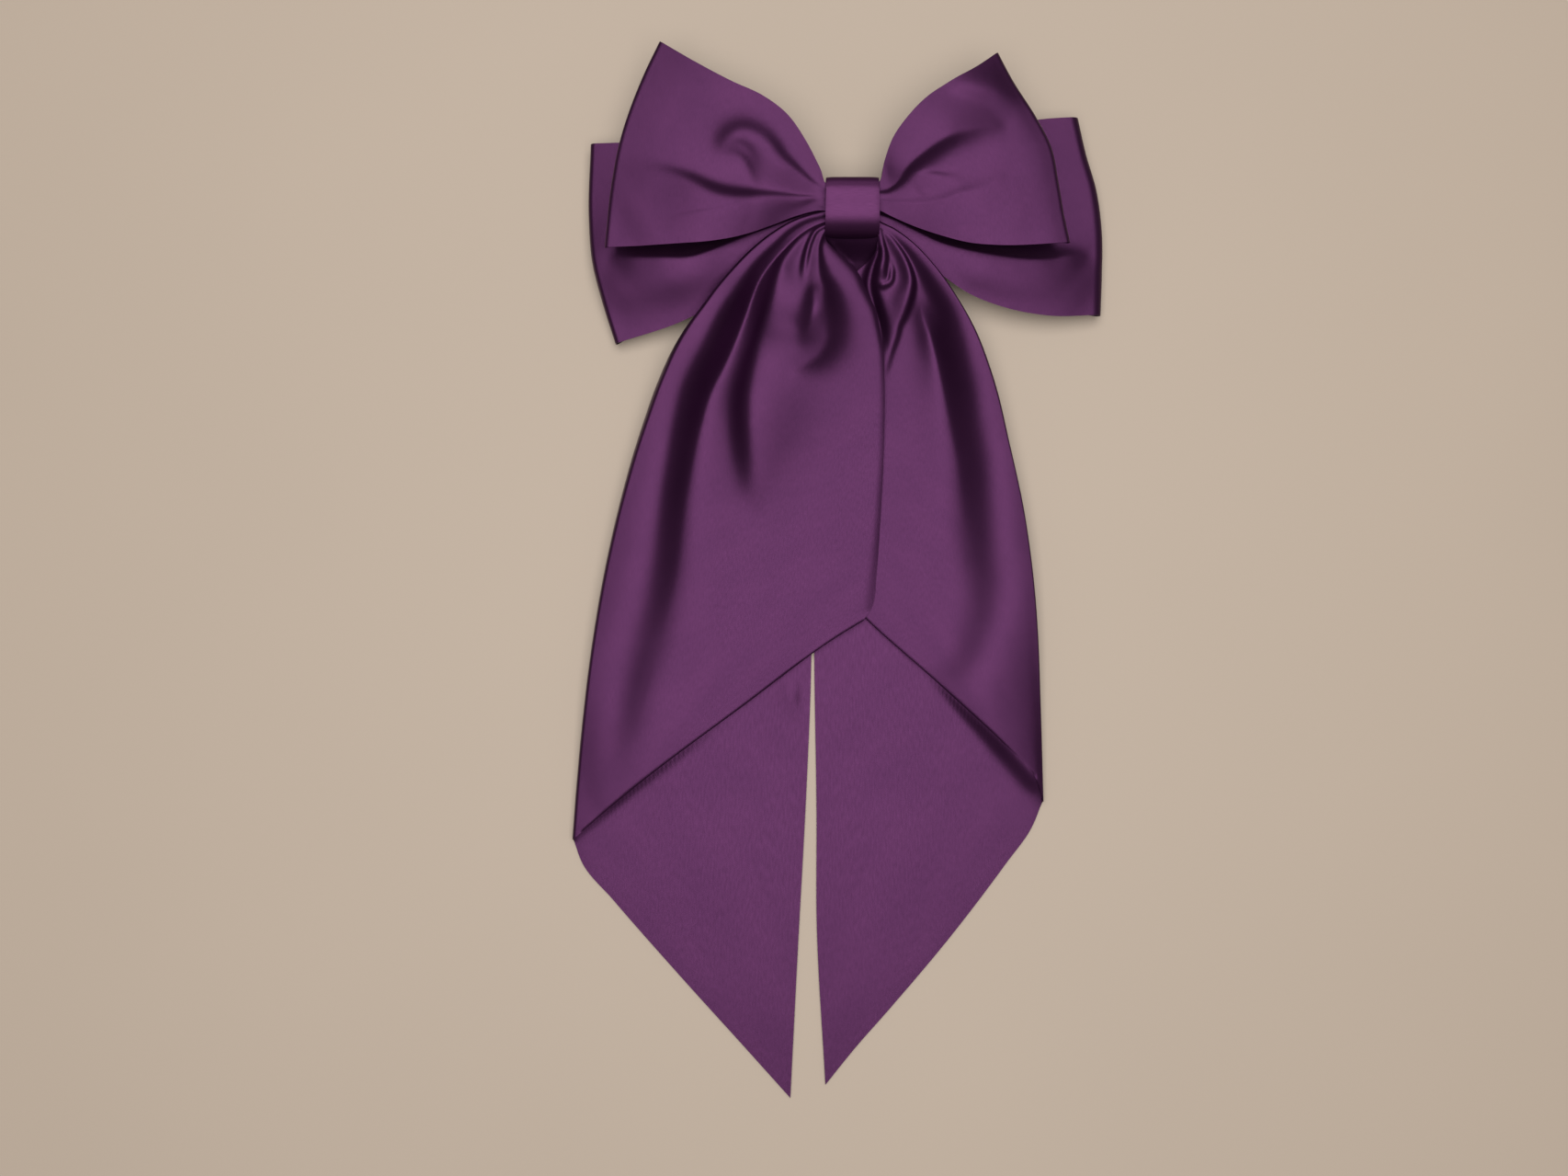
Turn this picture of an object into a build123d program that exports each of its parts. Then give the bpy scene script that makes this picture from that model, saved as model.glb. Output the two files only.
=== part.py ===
# A long-tailed satin hair bow on a spring barrette, lying face up as on a table.
# Millimetres. X runs along the clip, Y towards the top of the bow, Z up from the table.
# The origin is under the middle of the clip, on the plane that the clip and the tails rest on.
import os
from math import cos, hypot, radians, sin, sqrt

from build123d import *

# ---- driving dimensions -------------------------------------------------------------------

# Barrette plate and its hinge
clip_length = 80.0
arch_radius = 242.0
plate_thick = 0.8
plate_underside = 10.8
plate_corner = 2.0
lever_width = 6.0
lever_thick = 0.8
lever_underside = 2.4
lever_arch_radius = 810.0
lever_side_play = 0.25
ear_thick = 0.75
ear_radius = 2.0
pin_radius = 0.8
pin_play = 0.05
pin_head_radius = 1.3
pin_head_thick = 0.4
pin_inset = 4.0
knuckle_radius = 1.5
sewing_hole_radius = 1.0
sewing_hole_to_strap = 6.0

# Tension bar and the two straps that hold its ends
bar_to_catch = 1.8
bar_thick = 0.4
bar_width = 5.0
bar_play = 0.05
bar_sag = 0.5
bar_past_strap = 3.0
strap_length = 2.5
strap_thick = 0.5

# Catch: a riveted channel with two springy prongs
catch_thick = 0.5
catch_length = 6.4
catch_flange = 1.6
prong_length = 2.8
prong_thick = 0.5
prong_spread = 2.2
prong_root_gap = 0.12
prong_tip_height = 0.3
barb_depth = 0.45
barb_height = 0.8
barb_play = 0.1
window_play = 0.4
frame_rim = 1.25
rivet_radius = 0.9
rivet_head_radius = 1.5
rivet_head_thick = 0.4

# Satin pieces at the knot
satin = 0.8
loop_over_rivet = 0.7
mouth_reach = 8.0
fold_facets = 6
neck_bite = 0.5
seat_gap = 0.1
pad_thick = 0.7
pad_length = 21.0
pad_width = 9.0
pad_corner = 2.0
neck_half_height = 8.6
back_neck_thick = 2.4
tail_neck_thick = 2.4
front_neck_thick = 2.6
thread = 0.5
thread_pitch = 0.45
thread_turns = 5
band_length = 18.6
band_satin = 0.8
lap_length = 6.0

# Straight bias cuts of the tails, each through the end of its outer fold
left_fold_end = (-100.3, -223.4)
right_fold_end = (69.8, -212.6)
left_tip = (-21.8, -319.8)
right_tip = (-8.6, -314.8)
left_flap_end = (8.6, -142.0)
right_flap_end = (6.3, -145.9)

# ---- levels and places that follow from them ----------------------------------------------

half_clip = clip_length / 2
plate_width = lever_width + 2 * (lever_side_play + ear_thick)
plate_top = plate_underside + plate_thick
pin_x = pin_inset - half_clip
pin_z = ear_radius
catch_x = half_clip - pin_inset
bar_half_length = catch_x - catch_length / 2 - bar_to_catch
strap_from_middle = bar_half_length - bar_past_strap
sewing_hole_from_middle = strap_from_middle - sewing_hole_to_strap

pad_top = plate_top + pad_thick
back_under = pad_top + thread + 2 * seat_gap
back_over = back_under + back_neck_thick
tail_under = back_over + seat_gap
tail_over = tail_under + tail_neck_thick
front_under = tail_over + seat_gap
front_over = front_under + front_neck_thick
stack_middle = (back_under + front_over) / 2
neck_half_length = band_length / 2 + seat_gap


def arch_z(x, height, radius):
    """Height at x of an arch that stands height tall over the middle."""
    return height - radius + sqrt(radius**2 - x**2)


def arch_plane(x, height, radius):
    """The plane that lies on such an arch at x, with its Z square to the arch."""
    return Plane(origin=(x, 0, arch_z(x, height, radius)), x_dir=(0, 1, 0), z_dir=(x, 0, sqrt(radius**2 - x**2)))


def arched_strip(from_x, to_x, underside, thick, width, radius, corner=0.01):
    """A strip bent to the arch, with its underside at the given height over the middle."""
    middle = (from_x + to_x) / 2
    with BuildPart() as strip:
        with BuildSketch(Plane.XZ):
            with BuildLine():
                under = ThreePointArc(*((x, arch_z(x, underside, radius)) for x in (from_x, middle, to_x)))
                outer = radius + thick
                over = ThreePointArc(*((x, arch_z(x, underside + thick, outer)) for x in (from_x, middle, to_x)))
                Line(under @ 0, over @ 0)
                Line(under @ 1, over @ 1)
            make_face()
        extrude(amount=width / 2, both=True)
        # Round the corners of its plan outline
        with BuildSketch():
            with Locations((middle, 0)):
                RectangleRounded(to_x - from_x, width, corner)
        extrude(amount=underside + thick, mode=Mode.INTERSECT)
    return strip.part


def upright_plane(start, end):
    """The vertical plane through two plan points: its X runs from start to end, its Y is up."""
    run = hypot(end[0] - start[0], end[1] - start[1])
    along = ((end[0] - start[0]) / run, (end[1] - start[1]) / run, 0)
    return Plane(origin=(start[0], start[1], 0), x_dir=along, z_dir=(along[1], -along[0], 0)), run


rivet_seat = arch_plane(catch_x, plate_top, arch_radius + plate_thick)
loop_rest = arch_z(catch_x, plate_top, arch_radius + plate_thick) + rivet_head_thick + loop_over_rivet

# ---- barrette plate with hinge ears and bar straps ------------------------------------------

bar_end_top = arch_z(bar_half_length, plate_underside, arch_radius) - bar_play
strap_floor = bar_end_top - bar_thick - bar_play
strap_gap = bar_width + 2 * bar_play

with BuildPart() as clip_plate:
    add(arched_strip(-half_clip, half_clip, plate_underside, plate_thick, plate_width, arch_radius, plate_corner))
    # Hinge ears, which reach up into the plate
    ear_top = arch_z(abs(pin_x), plate_underside, arch_radius) + plate_thick / 2
    for side in (-1, 1):
        with BuildSketch(Plane.XZ.offset(side * plate_width / 2)):
            with Locations((pin_x, pin_z)):
                Circle(ear_radius)
            with Locations((pin_x, (pin_z + ear_top) / 2)):
                Rectangle(2 * ear_radius, ear_top - pin_z)
            with Locations((pin_x, pin_z)):
                Circle(pin_radius, mode=Mode.SUBTRACT)
        extrude(amount=-side * ear_thick)
    # Straps round the ends of the tension bar
    strap_top = arch_z(strap_from_middle, plate_underside, arch_radius) + plate_thick / 2
    for side in (-1, 1):
        with BuildSketch(Plane.YZ.offset(side * strap_from_middle - strap_length / 2)):
            with Locations((0, (strap_top + strap_floor - strap_thick) / 2)):
                Rectangle(strap_gap + 2 * strap_thick, strap_top - strap_floor + strap_thick)
            with Locations((0, (strap_top + strap_floor) / 2 - plate_thick)):
                Rectangle(strap_gap, strap_top - strap_floor, mode=Mode.SUBTRACT)
        extrude(amount=strap_length)
    # Two holes for sewing the clip down
    with Locations(Plane.XY.offset(plate_top)):
        with Locations((-sewing_hole_from_middle, 0), (sewing_hole_from_middle, 0)):
            Hole(sewing_hole_radius, plate_top - strap_floor)
    with Locations(rivet_seat):
        Hole(rivet_radius, 2 * plate_thick)
clip_plate.part.label = "clip_plate"

# ---- hinge pin with two flat heads -----------------------------------------------------------

with BuildPart() as hinge_pin:
    with BuildSketch(Plane.XZ):
        with Locations((pin_x, pin_z)):
            Circle(pin_radius)
    extrude(amount=plate_width / 2, both=True)
    for side in (-1, 1):
        with BuildSketch(Plane.XZ.offset(side * plate_width / 2)):
            with Locations((pin_x, pin_z)):
                Circle(pin_head_radius)
        extrude(amount=side * pin_head_thick)
hinge_pin.part.label = "hinge_pin"

# ---- clasp lever: a bowed strip with a knuckle and a window for the prongs ----------------------

window_length = prong_length + 2 * window_play
window_width = 2 * (prong_spread + prong_thick / 2 + barb_depth + barb_play)
frame_length = window_length + 2 * frame_rim
frame_width = window_width + 2 * frame_rim

with BuildPart() as clasp_lever:
    lever_start = pin_x + knuckle_radius / 2
    lever_strip = arched_strip(
        lever_start, catch_x + frame_length / 2, lever_underside, lever_thick, frame_width, lever_arch_radius
    )
    # Plan outline: a narrow strip that widens into the rounded window frame
    with BuildSketch():
        with Locations(((lever_start + catch_x) / 2, 0)):
            Rectangle(catch_x - lever_start, lever_width)
        with Locations((catch_x, 0)):
            RectangleRounded(frame_length, frame_width, frame_rim)
            Rectangle(window_length, window_width, mode=Mode.SUBTRACT)
    extrude(amount=plate_underside)
    add(lever_strip, mode=Mode.INTERSECT)
    with BuildSketch(Plane.XZ):
        with Locations((pin_x, pin_z)):
            Circle(knuckle_radius)
    extrude(amount=lever_width / 2, both=True)
    with BuildSketch(Plane.XZ):
        with Locations((pin_x, pin_z)):
            Circle(pin_radius + pin_play)
    extrude(amount=lever_width, both=True, mode=Mode.SUBTRACT)
clasp_lever.part.label = "clasp_lever"

# ---- tension bar: a thin strip that bows away from the plate --------------------------------------

with BuildPart() as tension_bar:
    bar_middle_top = bar_end_top - bar_sag
    with BuildSketch(Plane.XZ):
        with BuildLine():
            bar_over = ThreePointArc(
                (-bar_half_length, bar_end_top), (0, bar_middle_top), (bar_half_length, bar_end_top)
            )
            bar_below = ThreePointArc(
                (-bar_half_length, bar_end_top - bar_thick),
                (0, bar_middle_top - bar_thick),
                (bar_half_length, bar_end_top - bar_thick),
            )
            Line(bar_over @ 0, bar_below @ 0)
            Line(bar_over @ 1, bar_below @ 1)
        make_face()
    extrude(amount=bar_width / 2, both=True)
tension_bar.part.label = "tension_bar"

# ---- catch: channel under the plate's end, rivet and two barbed prongs ------------------------------

catch_underside = plate_underside - catch_thick
catch_width = 2 * prong_spread + prong_thick
flange_end = arch_z(catch_x + catch_length / 2, catch_underside, arch_radius) - catch_flange
prong_top = flange_end - prong_root_gap
barb_top = arch_z(catch_x + frame_length / 2, lever_underside, lever_arch_radius) - barb_play

with BuildPart() as clip_catch:
    catch_from, catch_to = catch_x - catch_length / 2, catch_x + catch_length / 2
    add(arched_strip(catch_from, catch_to, catch_underside, catch_thick, catch_width, arch_radius - catch_thick))
    channel_top = arch_z(catch_to, catch_underside + catch_thick / 2, arch_radius)
    for side in (-1, 1):
        with BuildSketch(Plane.XZ.offset(side * catch_width / 2)):
            with BuildLine():
                Polyline(
                    (catch_from, channel_top),
                    (catch_to, channel_top),
                    (catch_x + prong_length / 2, flange_end),
                    (catch_x - prong_length / 2, flange_end),
                    close=True,
                )
            make_face()
        extrude(amount=-side * prong_thick)
    with Locations(rivet_seat):
        Hole(rivet_radius, plate_thick + catch_flange)
clip_catch.part.label = "clip_catch"


def make_prong(side):
    """One springy arm of the catch, with a barb that faces away from the middle."""
    face_y = prong_spread + prong_thick / 2
    with BuildPart() as prong:
        with BuildSketch(Plane.YZ.offset(catch_x - prong_length / 2)):
            with BuildLine():
                Polyline(
                    (side * (prong_spread - prong_thick / 2), prong_top),
                    (side * face_y, prong_top),
                    (side * face_y, barb_top),
                    (side * (face_y + barb_depth), barb_top),
                    (side * face_y, barb_top - barb_height),
                    (side * face_y, prong_tip_height),
                    (side * (prong_spread - prong_thick / 2), prong_tip_height),
                    close=True,
                )
            make_face()
        extrude(amount=prong_length)
    return prong.part


catch_prong_front = make_prong(-1)
catch_prong_front.label = "catch_prong_front"
catch_prong_rear = make_prong(1)
catch_prong_rear.label = "catch_prong_rear"

with BuildPart() as catch_rivet:
    grip = plate_thick + catch_thick
    with BuildSketch(rivet_seat):
        Circle(rivet_radius)
    extrude(amount=-grip)
    with BuildSketch(rivet_seat):
        Circle(rivet_head_radius)
    extrude(amount=rivet_head_thick)
    with BuildSketch(rivet_seat.offset(-grip)):
        Circle(rivet_head_radius)
    extrude(amount=-rivet_head_thick)
catch_rivet.part.label = "catch_rivet"

# ---- felt pad between the plate and the bow ---------------------------------------------------------

with BuildPart() as clip_pad:
    pad_under = arch_radius + plate_thick
    add(arched_strip(-pad_length / 2, pad_length / 2, plate_top, pad_thick, pad_width, pad_under, pad_corner))
clip_pad.part.label = "clip_pad"

# ---- loops: each is a strip that runs out, folds over and comes back -----------------------------------

# A station is the strip's lower and upper plan points, then the heights of its
# back and front panels there: back and front at the lower edge, back and front at the upper.


def loft_stations(stations, skin, stretch):
    """Loft through upright four-sided sections, thinned by skin and stretched past both edges."""
    with BuildPart() as body:
        for lower, upper, (back_low, front_low, back_up, front_up) in stations:
            plane, run = upright_plane(lower, upper)
            with BuildSketch(plane):
                with BuildLine():
                    Polyline(
                        (-stretch, back_low + skin),
                        (run + stretch, back_up + skin),
                        (run + stretch, front_up - skin),
                        (-stretch, front_low - skin),
                        close=True,
                    )
                make_face()
        loft()
    return body.part


def make_bow(under, over, left, right):
    """Two open loops joined by the gathered neck that the band grips."""
    with BuildPart() as bow:
        for side, stations in ((-1, left), (1, right)):
            neck_x = side * (neck_half_length - neck_bite)
            mouth_x = side * (neck_half_length + neck_bite)
            heights = (under, over, under, over)
            neck = ((neck_x, -neck_half_height), (neck_x, neck_half_height), heights)
            collar = ((mouth_x, -neck_half_height), (mouth_x, neck_half_height), heights)
            add(loft_stations([neck, collar, *stations], 0, 0))
            add(loft_stations(stations[:-1], satin, mouth_reach), mode=Mode.SUBTRACT)
        with BuildSketch(Plane.XY.offset(under)):
            Rectangle(2 * neck_half_length, 2 * neck_half_height)
        extrude(amount=over - under)
    return bow.part


front_bow = make_bow(
    front_under,
    front_over,
    [
        ((-22, -6), (-16.5, 24), (17.8, 22.5, 17.8, 24)),
        ((-40, -8.7), (-30, 39), (16.4, 24.5, 16, 26)),
        ((-58, -11.3), (-44, 48.8), (14.4, 24.5, 14.4, 26)),
        ((-74, -12.4), (-56.5, 55.5), (12.2, 22.5, 12.8, 24.4)),
        ((-84.8, -13), (-65, 59.4), (11.4, 18.8, 12.6, 20.8)),
        ((-87.8, -13.2), (-67.3, 60.4), (14.2, 16.2, 15.6, 17.8)),
    ],
    [
        ((20, -7), (16, 26), (17.8, 22.5, 17.8, 24)),
        ((36, -10.5), (29, 39), (16.4, 24.5, 16, 26)),
        ((53, -12), (42, 47.5), (14.4, 24.5, 14.4, 26)),
        ((66, -12.2), (52, 52.5), (12.2, 22.5, 12.8, 24.4)),
        ((76, -12.2), (59, 54.5), (11.4, 18.8, 12.6, 20.8)),
        ((79, -12.2), (62, 54), (14.2, 16.2, 15.6, 17.8)),
    ],
)
front_bow.label = "front_bow"

# The back loops rest on the clip's ends, just clear of the rivet
over_clip = (loop_rest - 2, loop_rest + 0.2, loop_rest + 1.9, loop_rest + 4.3)

back_bow = make_bow(
    back_under,
    back_over,
    [
        ((-20, -16), (-20, 17), (11, 13.4, 12.4, 14.8)),
        ((-catch_x - 1, -27), (-catch_x - 2, 24), over_clip),
        ((-54, -37), (-58, 26), (3.6, 7.4, 6.4, 11.8)),
        ((-70, -43.5), (-77, 25.6), (1.2, 6, 2.4, 9)),
        ((-82.5, -47.8), (-91, 24.6), (0.4, 4.4, 0.6, 6.4)),
        ((-85.6, -48.8), (-94.2, 24.1), (1.6, 3, 2.4, 4)),
    ],
    [
        ((20, -14), (19, 18), (11, 13.4, 12.4, 14.8)),
        ((catch_x - 1, -22), (catch_x - 2, 26), over_clip),
        ((54, -31.5), (51, 31), (3.6, 7.4, 6.4, 11.8)),
        ((74, -36.2), (68, 32.4), (1.2, 6, 2.4, 9)),
        ((88, -38.2), (81, 33), (0.4, 4.4, 0.6, 6.4)),
        ((91, -38.6), (84, 33.3), (1.6, 3, 2.4, 4)),
    ],
)
back_bow.label = "back_bow"

# ---- tails: one wide strip through the knot, each end folded lengthwise along its outer edge --------------

# A station is the outer fold's plan point, the inner edge's plan point, the length of the
# back flap, and the heights of the folded strip's underside and top.


def fold_points(bend, radius, middle):
    """Points round the outside of a fold, from its top to its underside."""
    turns = (radians(90 - 180 * i / fold_facets) for i in range(fold_facets + 1))
    return [(bend - radius * cos(turn), middle + radius * sin(turn)) for turn in turns]


def loft_folded_strip(stations):
    """Loft through upright hairpin sections, each closed by a round fold at its outer end."""
    with BuildPart() as strip:
        for outer, inner, back_length, base, top in stations:
            plane, front_length = upright_plane(outer, inner)
            bend, middle = (top - base) / 2, (top + base) / 2
            outside = fold_points(bend, bend, middle)
            inside = fold_points(bend, bend - satin, middle)
            with BuildSketch(plane):
                with BuildLine():
                    Polyline(
                        (front_length, top),
                        *outside,
                        (back_length, base),
                        (back_length, base + satin),
                        *reversed(inside),
                        (front_length, top - satin),
                        close=True,
                    )
                make_face()
        loft(ruled=True)
    return strip.part


def bias_cutter(start, end, from_z, to_z):
    """A block that takes away everything on the far side of a straight cut between two plan points."""
    reach = 400.0
    run = hypot(end[0] - start[0], end[1] - start[1])
    along = ((end[0] - start[0]) / run, (end[1] - start[1]) / run)
    before = (start[0] - reach * along[0], start[1] - reach * along[1])
    after = (end[0] + reach * along[0], end[1] + reach * along[1])
    with BuildPart() as cutter:
        with BuildSketch(Plane.XY.offset(from_z)):
            with BuildLine():
                Polyline(before, after, (after[0], after[1] - reach), (before[0], before[1] - reach), close=True)
            make_face()
        extrude(amount=to_z - from_z)
    return cutter.part


def make_tail(stations, fold_end, flap_end, tip):
    """A folded tail whose front and back flaps end on the two halves of one bias cut."""
    top = stations[-1][4]
    with BuildPart() as tail:
        add(loft_folded_strip(stations))
        add(bias_cutter(fold_end, flap_end, (satin + top) / 2, 2 * front_over), mode=Mode.SUBTRACT)
        add(bias_cutter(fold_end, tip, -satin, (satin + top) / 2), mode=Mode.SUBTRACT)
    return tail.part


# Both tails start inside the neck
start_x = neck_half_length - neck_bite
collar_x = neck_half_length + neck_bite
start_y = neck_half_height - seat_gap

with BuildPart() as tail_ribbon:
    add(
        make_tail(
            [
                ((-start_x, 3), (-start_x, -start_y), 10, tail_under + seat_gap, tail_over - seat_gap),
                ((-collar_x, 2), (-collar_x, -start_y), 9, tail_under + seat_gap, tail_over - seat_gap),
                ((-15.5, -6.5), (-10.3, -12.5), 9, 15.4, 17.7),
                ((-26, -13), (0, -21), 25, 14.4, 18.3),
                ((-42, -21), (6, -32), 42, 12, 17),
                ((-58, -40), (10.5, -46), 54, 8.5, 14.2),
                ((-63.5, -56), (11.5, -58), 58, 3, 10),
                ((-68, -72), (11.9, -72), 62, 0.2, 7.4),
                ((-78, -103), (9.9, -103), 67, 0, 6.4),
                ((-87.8, -149), (8.6, -149), 73.6, 0, 6),
                ((-94.4, -185.5), (8.6, -185.5), 78.4, 0, 6),
                ((-100.3, -223.4), (8.6, -223.4), 82.2, 0, 6),
                ((-112, -325), (8.6, -325), 89, 0, 6),
            ],
            left_fold_end,
            left_flap_end,
            left_tip,
        )
    )
    add(
        make_tail(
            [
                ((start_x, 3), (start_x, -start_y), 10, tail_under + seat_gap, tail_over - seat_gap),
                ((collar_x, 2), (collar_x, -start_y), 9, tail_under + seat_gap, tail_over - seat_gap),
                ((14.5, -6), (10.3, -12.5), 8, 15.4, 17.8),
                ((22, -12.5), (0, -21), 21, 14.4, 16.9),
                ((32, -26), (-4, -33), 34, 12, 15),
                ((41.5, -44), (-7, -46), 43, 8, 12.4),
                ((46, -56), (-9, -57), 46, 3, 8),
                ((51, -71), (-12, -71), 53, 0.2, 5),
                ((58.6, -103), (-20, -103), 65, 0, 4.4),
                ((65.6, -149), (-27, -149), 77, 0, 4.2),
                ((68.6, -185.5), (-27, -185.5), 81.6, 0, 4.2),
                ((70, -223.4), (-25, -223.4), 82.2, 0, 4.2),
                ((73, -325), (-20, -325), 81.4, 0, 4.2),
            ],
            right_fold_end,
            right_flap_end,
            right_tip,
        )
    )
    with BuildSketch(Plane.XY.offset(tail_under)):
        Rectangle(2 * neck_half_length, 2 * neck_half_height)
    extrude(amount=tail_neck_thick)
tail_ribbon.part.label = "tail_ribbon"

# ---- thread wound round the gathered necks ---------------------------------------------------------------

with BuildPart() as gathering_thread:
    thread_depth = front_over - back_under + 2 * seat_gap
    thread_height = 2 * (neck_half_height + seat_gap)
    with BuildSketch(Plane.YZ):
        with Locations((0, stack_middle)):
            RectangleRounded(thread_height + 2 * thread, thread_depth + 2 * thread, 2 * thread)
            Rectangle(thread_height, thread_depth, mode=Mode.SUBTRACT)
    extrude(amount=thread_turns * thread_pitch / 2, both=True)
gathering_thread.part.label = "gathering_thread"

# ---- knot band: a strip wrapped round the necks and the clip plate, lapped behind -----------------------------

with BuildPart() as knot_band:
    band_inner_top = front_over + thread + 2 * seat_gap
    band_inner_half = neck_half_height + thread + 2 * seat_gap
    band_floor = arch_z(band_length / 2, plate_underside, arch_radius) - seat_gap
    band_waist = plate_width / 2 + seat_gap
    with BuildSketch(Plane.YZ) as band_section:
        with BuildLine():
            Polyline(
                (-band_waist, band_floor),
                (band_waist, band_floor),
                (band_inner_half, pad_top),
                (band_inner_half, band_inner_top),
                (-band_inner_half, band_inner_top),
                (-band_inner_half, pad_top),
                close=True,
            )
        make_face()
        offset(amount=band_satin)
        with BuildLine():
            Polyline(
                (-band_waist, band_floor),
                (band_waist, band_floor),
                (band_inner_half, pad_top),
                (band_inner_half, band_inner_top),
                (-band_inner_half, band_inner_top),
                (-band_inner_half, pad_top),
                close=True,
            )
        make_face(mode=Mode.SUBTRACT)
        # The outer end of the strip laps over the inner one
        with Locations((0, band_floor - 1.5 * band_satin)):
            Rectangle(lap_length, band_satin)
    extrude(amount=band_length / 2, both=True)
knot_band.part.label = "knot_band"

# ---- write every piece ------------------------------------------------------------------------------------------

os.makedirs("parts", exist_ok=True)
export_step(clip_plate.part, "parts/clip_plate.step")
export_step(hinge_pin.part, "parts/hinge_pin.step")
export_step(clasp_lever.part, "parts/clasp_lever.step")
export_step(tension_bar.part, "parts/tension_bar.step")
export_step(clip_catch.part, "parts/clip_catch.step")
export_step(catch_prong_front, "parts/catch_prong_front.step")
export_step(catch_prong_rear, "parts/catch_prong_rear.step")
export_step(catch_rivet.part, "parts/catch_rivet.step")
export_step(clip_pad.part, "parts/clip_pad.step")
export_step(back_bow, "parts/back_bow.step")
export_step(tail_ribbon.part, "parts/tail_ribbon.step")
export_step(front_bow, "parts/front_bow.step")
export_step(gathering_thread.part, "parts/gathering_thread.step")
export_step(knot_band.part, "parts/knot_band.step")
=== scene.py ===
import bmesh
import bpy
import numpy as np
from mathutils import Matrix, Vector


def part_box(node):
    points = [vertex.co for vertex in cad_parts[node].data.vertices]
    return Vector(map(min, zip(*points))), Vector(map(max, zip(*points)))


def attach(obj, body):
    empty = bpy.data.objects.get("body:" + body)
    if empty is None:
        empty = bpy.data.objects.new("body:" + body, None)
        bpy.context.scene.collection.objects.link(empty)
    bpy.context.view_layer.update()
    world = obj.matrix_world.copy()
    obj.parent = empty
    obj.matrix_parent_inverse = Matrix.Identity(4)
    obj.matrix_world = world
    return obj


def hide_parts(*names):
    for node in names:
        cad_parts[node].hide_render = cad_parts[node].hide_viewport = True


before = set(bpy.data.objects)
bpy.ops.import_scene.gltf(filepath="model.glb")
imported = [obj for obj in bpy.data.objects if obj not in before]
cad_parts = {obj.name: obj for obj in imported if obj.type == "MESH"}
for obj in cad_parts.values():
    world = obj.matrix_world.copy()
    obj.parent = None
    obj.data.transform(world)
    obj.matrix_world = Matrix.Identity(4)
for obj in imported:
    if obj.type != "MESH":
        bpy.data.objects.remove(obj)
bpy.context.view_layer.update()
mm = 0.001
sharpAngle = 1.2  # edges that bend more than this, in radians, stay crisp
print("frame loaded")


# Curves and heights are worked out in millimetres
def smoothRead(places, values, at):
    # A smooth curve through the values, held at both its ends
    slopes = np.gradient(values, places, axis=0)
    at = np.clip(at, places[0], places[-1])
    i = np.clip(np.searchsorted(places, at, side="right") - 1, 0, len(places) - 2)
    span = places[i + 1] - places[i]
    f = (at - places[i]) / span
    if values.ndim > 1:
        f, span = f[..., None], span[..., None]
    return (
        (2 * f**3 - 3 * f**2 + 1) * values[i]
        + (f**3 - 2 * f**2 + f) * span * slopes[i]
        + (3 * f**2 - 2 * f**3) * values[i + 1]
        + (f**3 - f**2) * span * slopes[i + 1]
    )


def pathPlaces(points):
    # How far along its path each point lies, in mm
    steps = np.linalg.norm(np.diff(points, axis=0), axis=1)
    return np.concatenate([[0], np.cumsum(steps)])


def curveAt(points, at):
    # Points read at places from 0 to 1 along a drawn line
    points = np.array(points, float)
    places = pathPlaces(points)
    return smoothRead(places / places[-1], points, at)


def levelAt(table, at):
    # A value read from a table of (place, value) rows
    places, values = np.array(table, float).T
    return smoothRead(places, values, at)


def blendPatch(start, end, low, high, s, t):
    # Plan points inside four edge curves: low and high run from start to end
    startAt, endAt = curveAt(start, t), curveAt(end, t)
    lowAt, highAt = curveAt(low, s), curveAt(high, s)
    s, t = s[..., None], t[..., None]
    corners = (
        (1 - s) * (1 - t) * np.array(low[0]) + (1 - s) * t * np.array(high[0])
        + s * (1 - t) * np.array(low[-1]) + s * t * np.array(high[-1])
    )
    return (1 - t) * lowAt + t * highAt + (1 - s) * startAt + s * endAt - corners


creaseRule = {
    "samples": 140,  # points read along each path
    "batch": 12000,  # plan points worked out at once
    "reach": 3.2,  # widths beyond which a crease adds nothing
    "blur": 2.5,  # square mm over which nearby path points share the say
    "blurGrowth": 0.5,  # and how much that grows with the distance
    "endSlack": 0.8,  # mm past its ends that a crease keeps its height
    "crispBreak": 0.08,  # width of a crisp step's break, as a share of its left width
}
# A crisp step breaks sharply at its high edge and eases out below it
crispPlaces = np.linspace(-3, 1.5, 400)
crispDrop = np.exp(-crispPlaces**2) / (1 + np.exp(crispPlaces / creaseRule["crispBreak"]))
crispShape = np.cumsum(crispDrop)
crispShape /= crispShape[-1]


def valuesAlong(values, path):
    # A single value, one for each point of the path, or a list spaced evenly along it
    values = np.atleast_1d(np.array(values, float))
    places = np.linspace(0, 1, len(values))
    if len(values) == len(path):
        places = pathPlaces(path)
        places /= places[-1]
    return np.interp(np.linspace(0, 1, creaseRule["samples"]), places, values)


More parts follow.
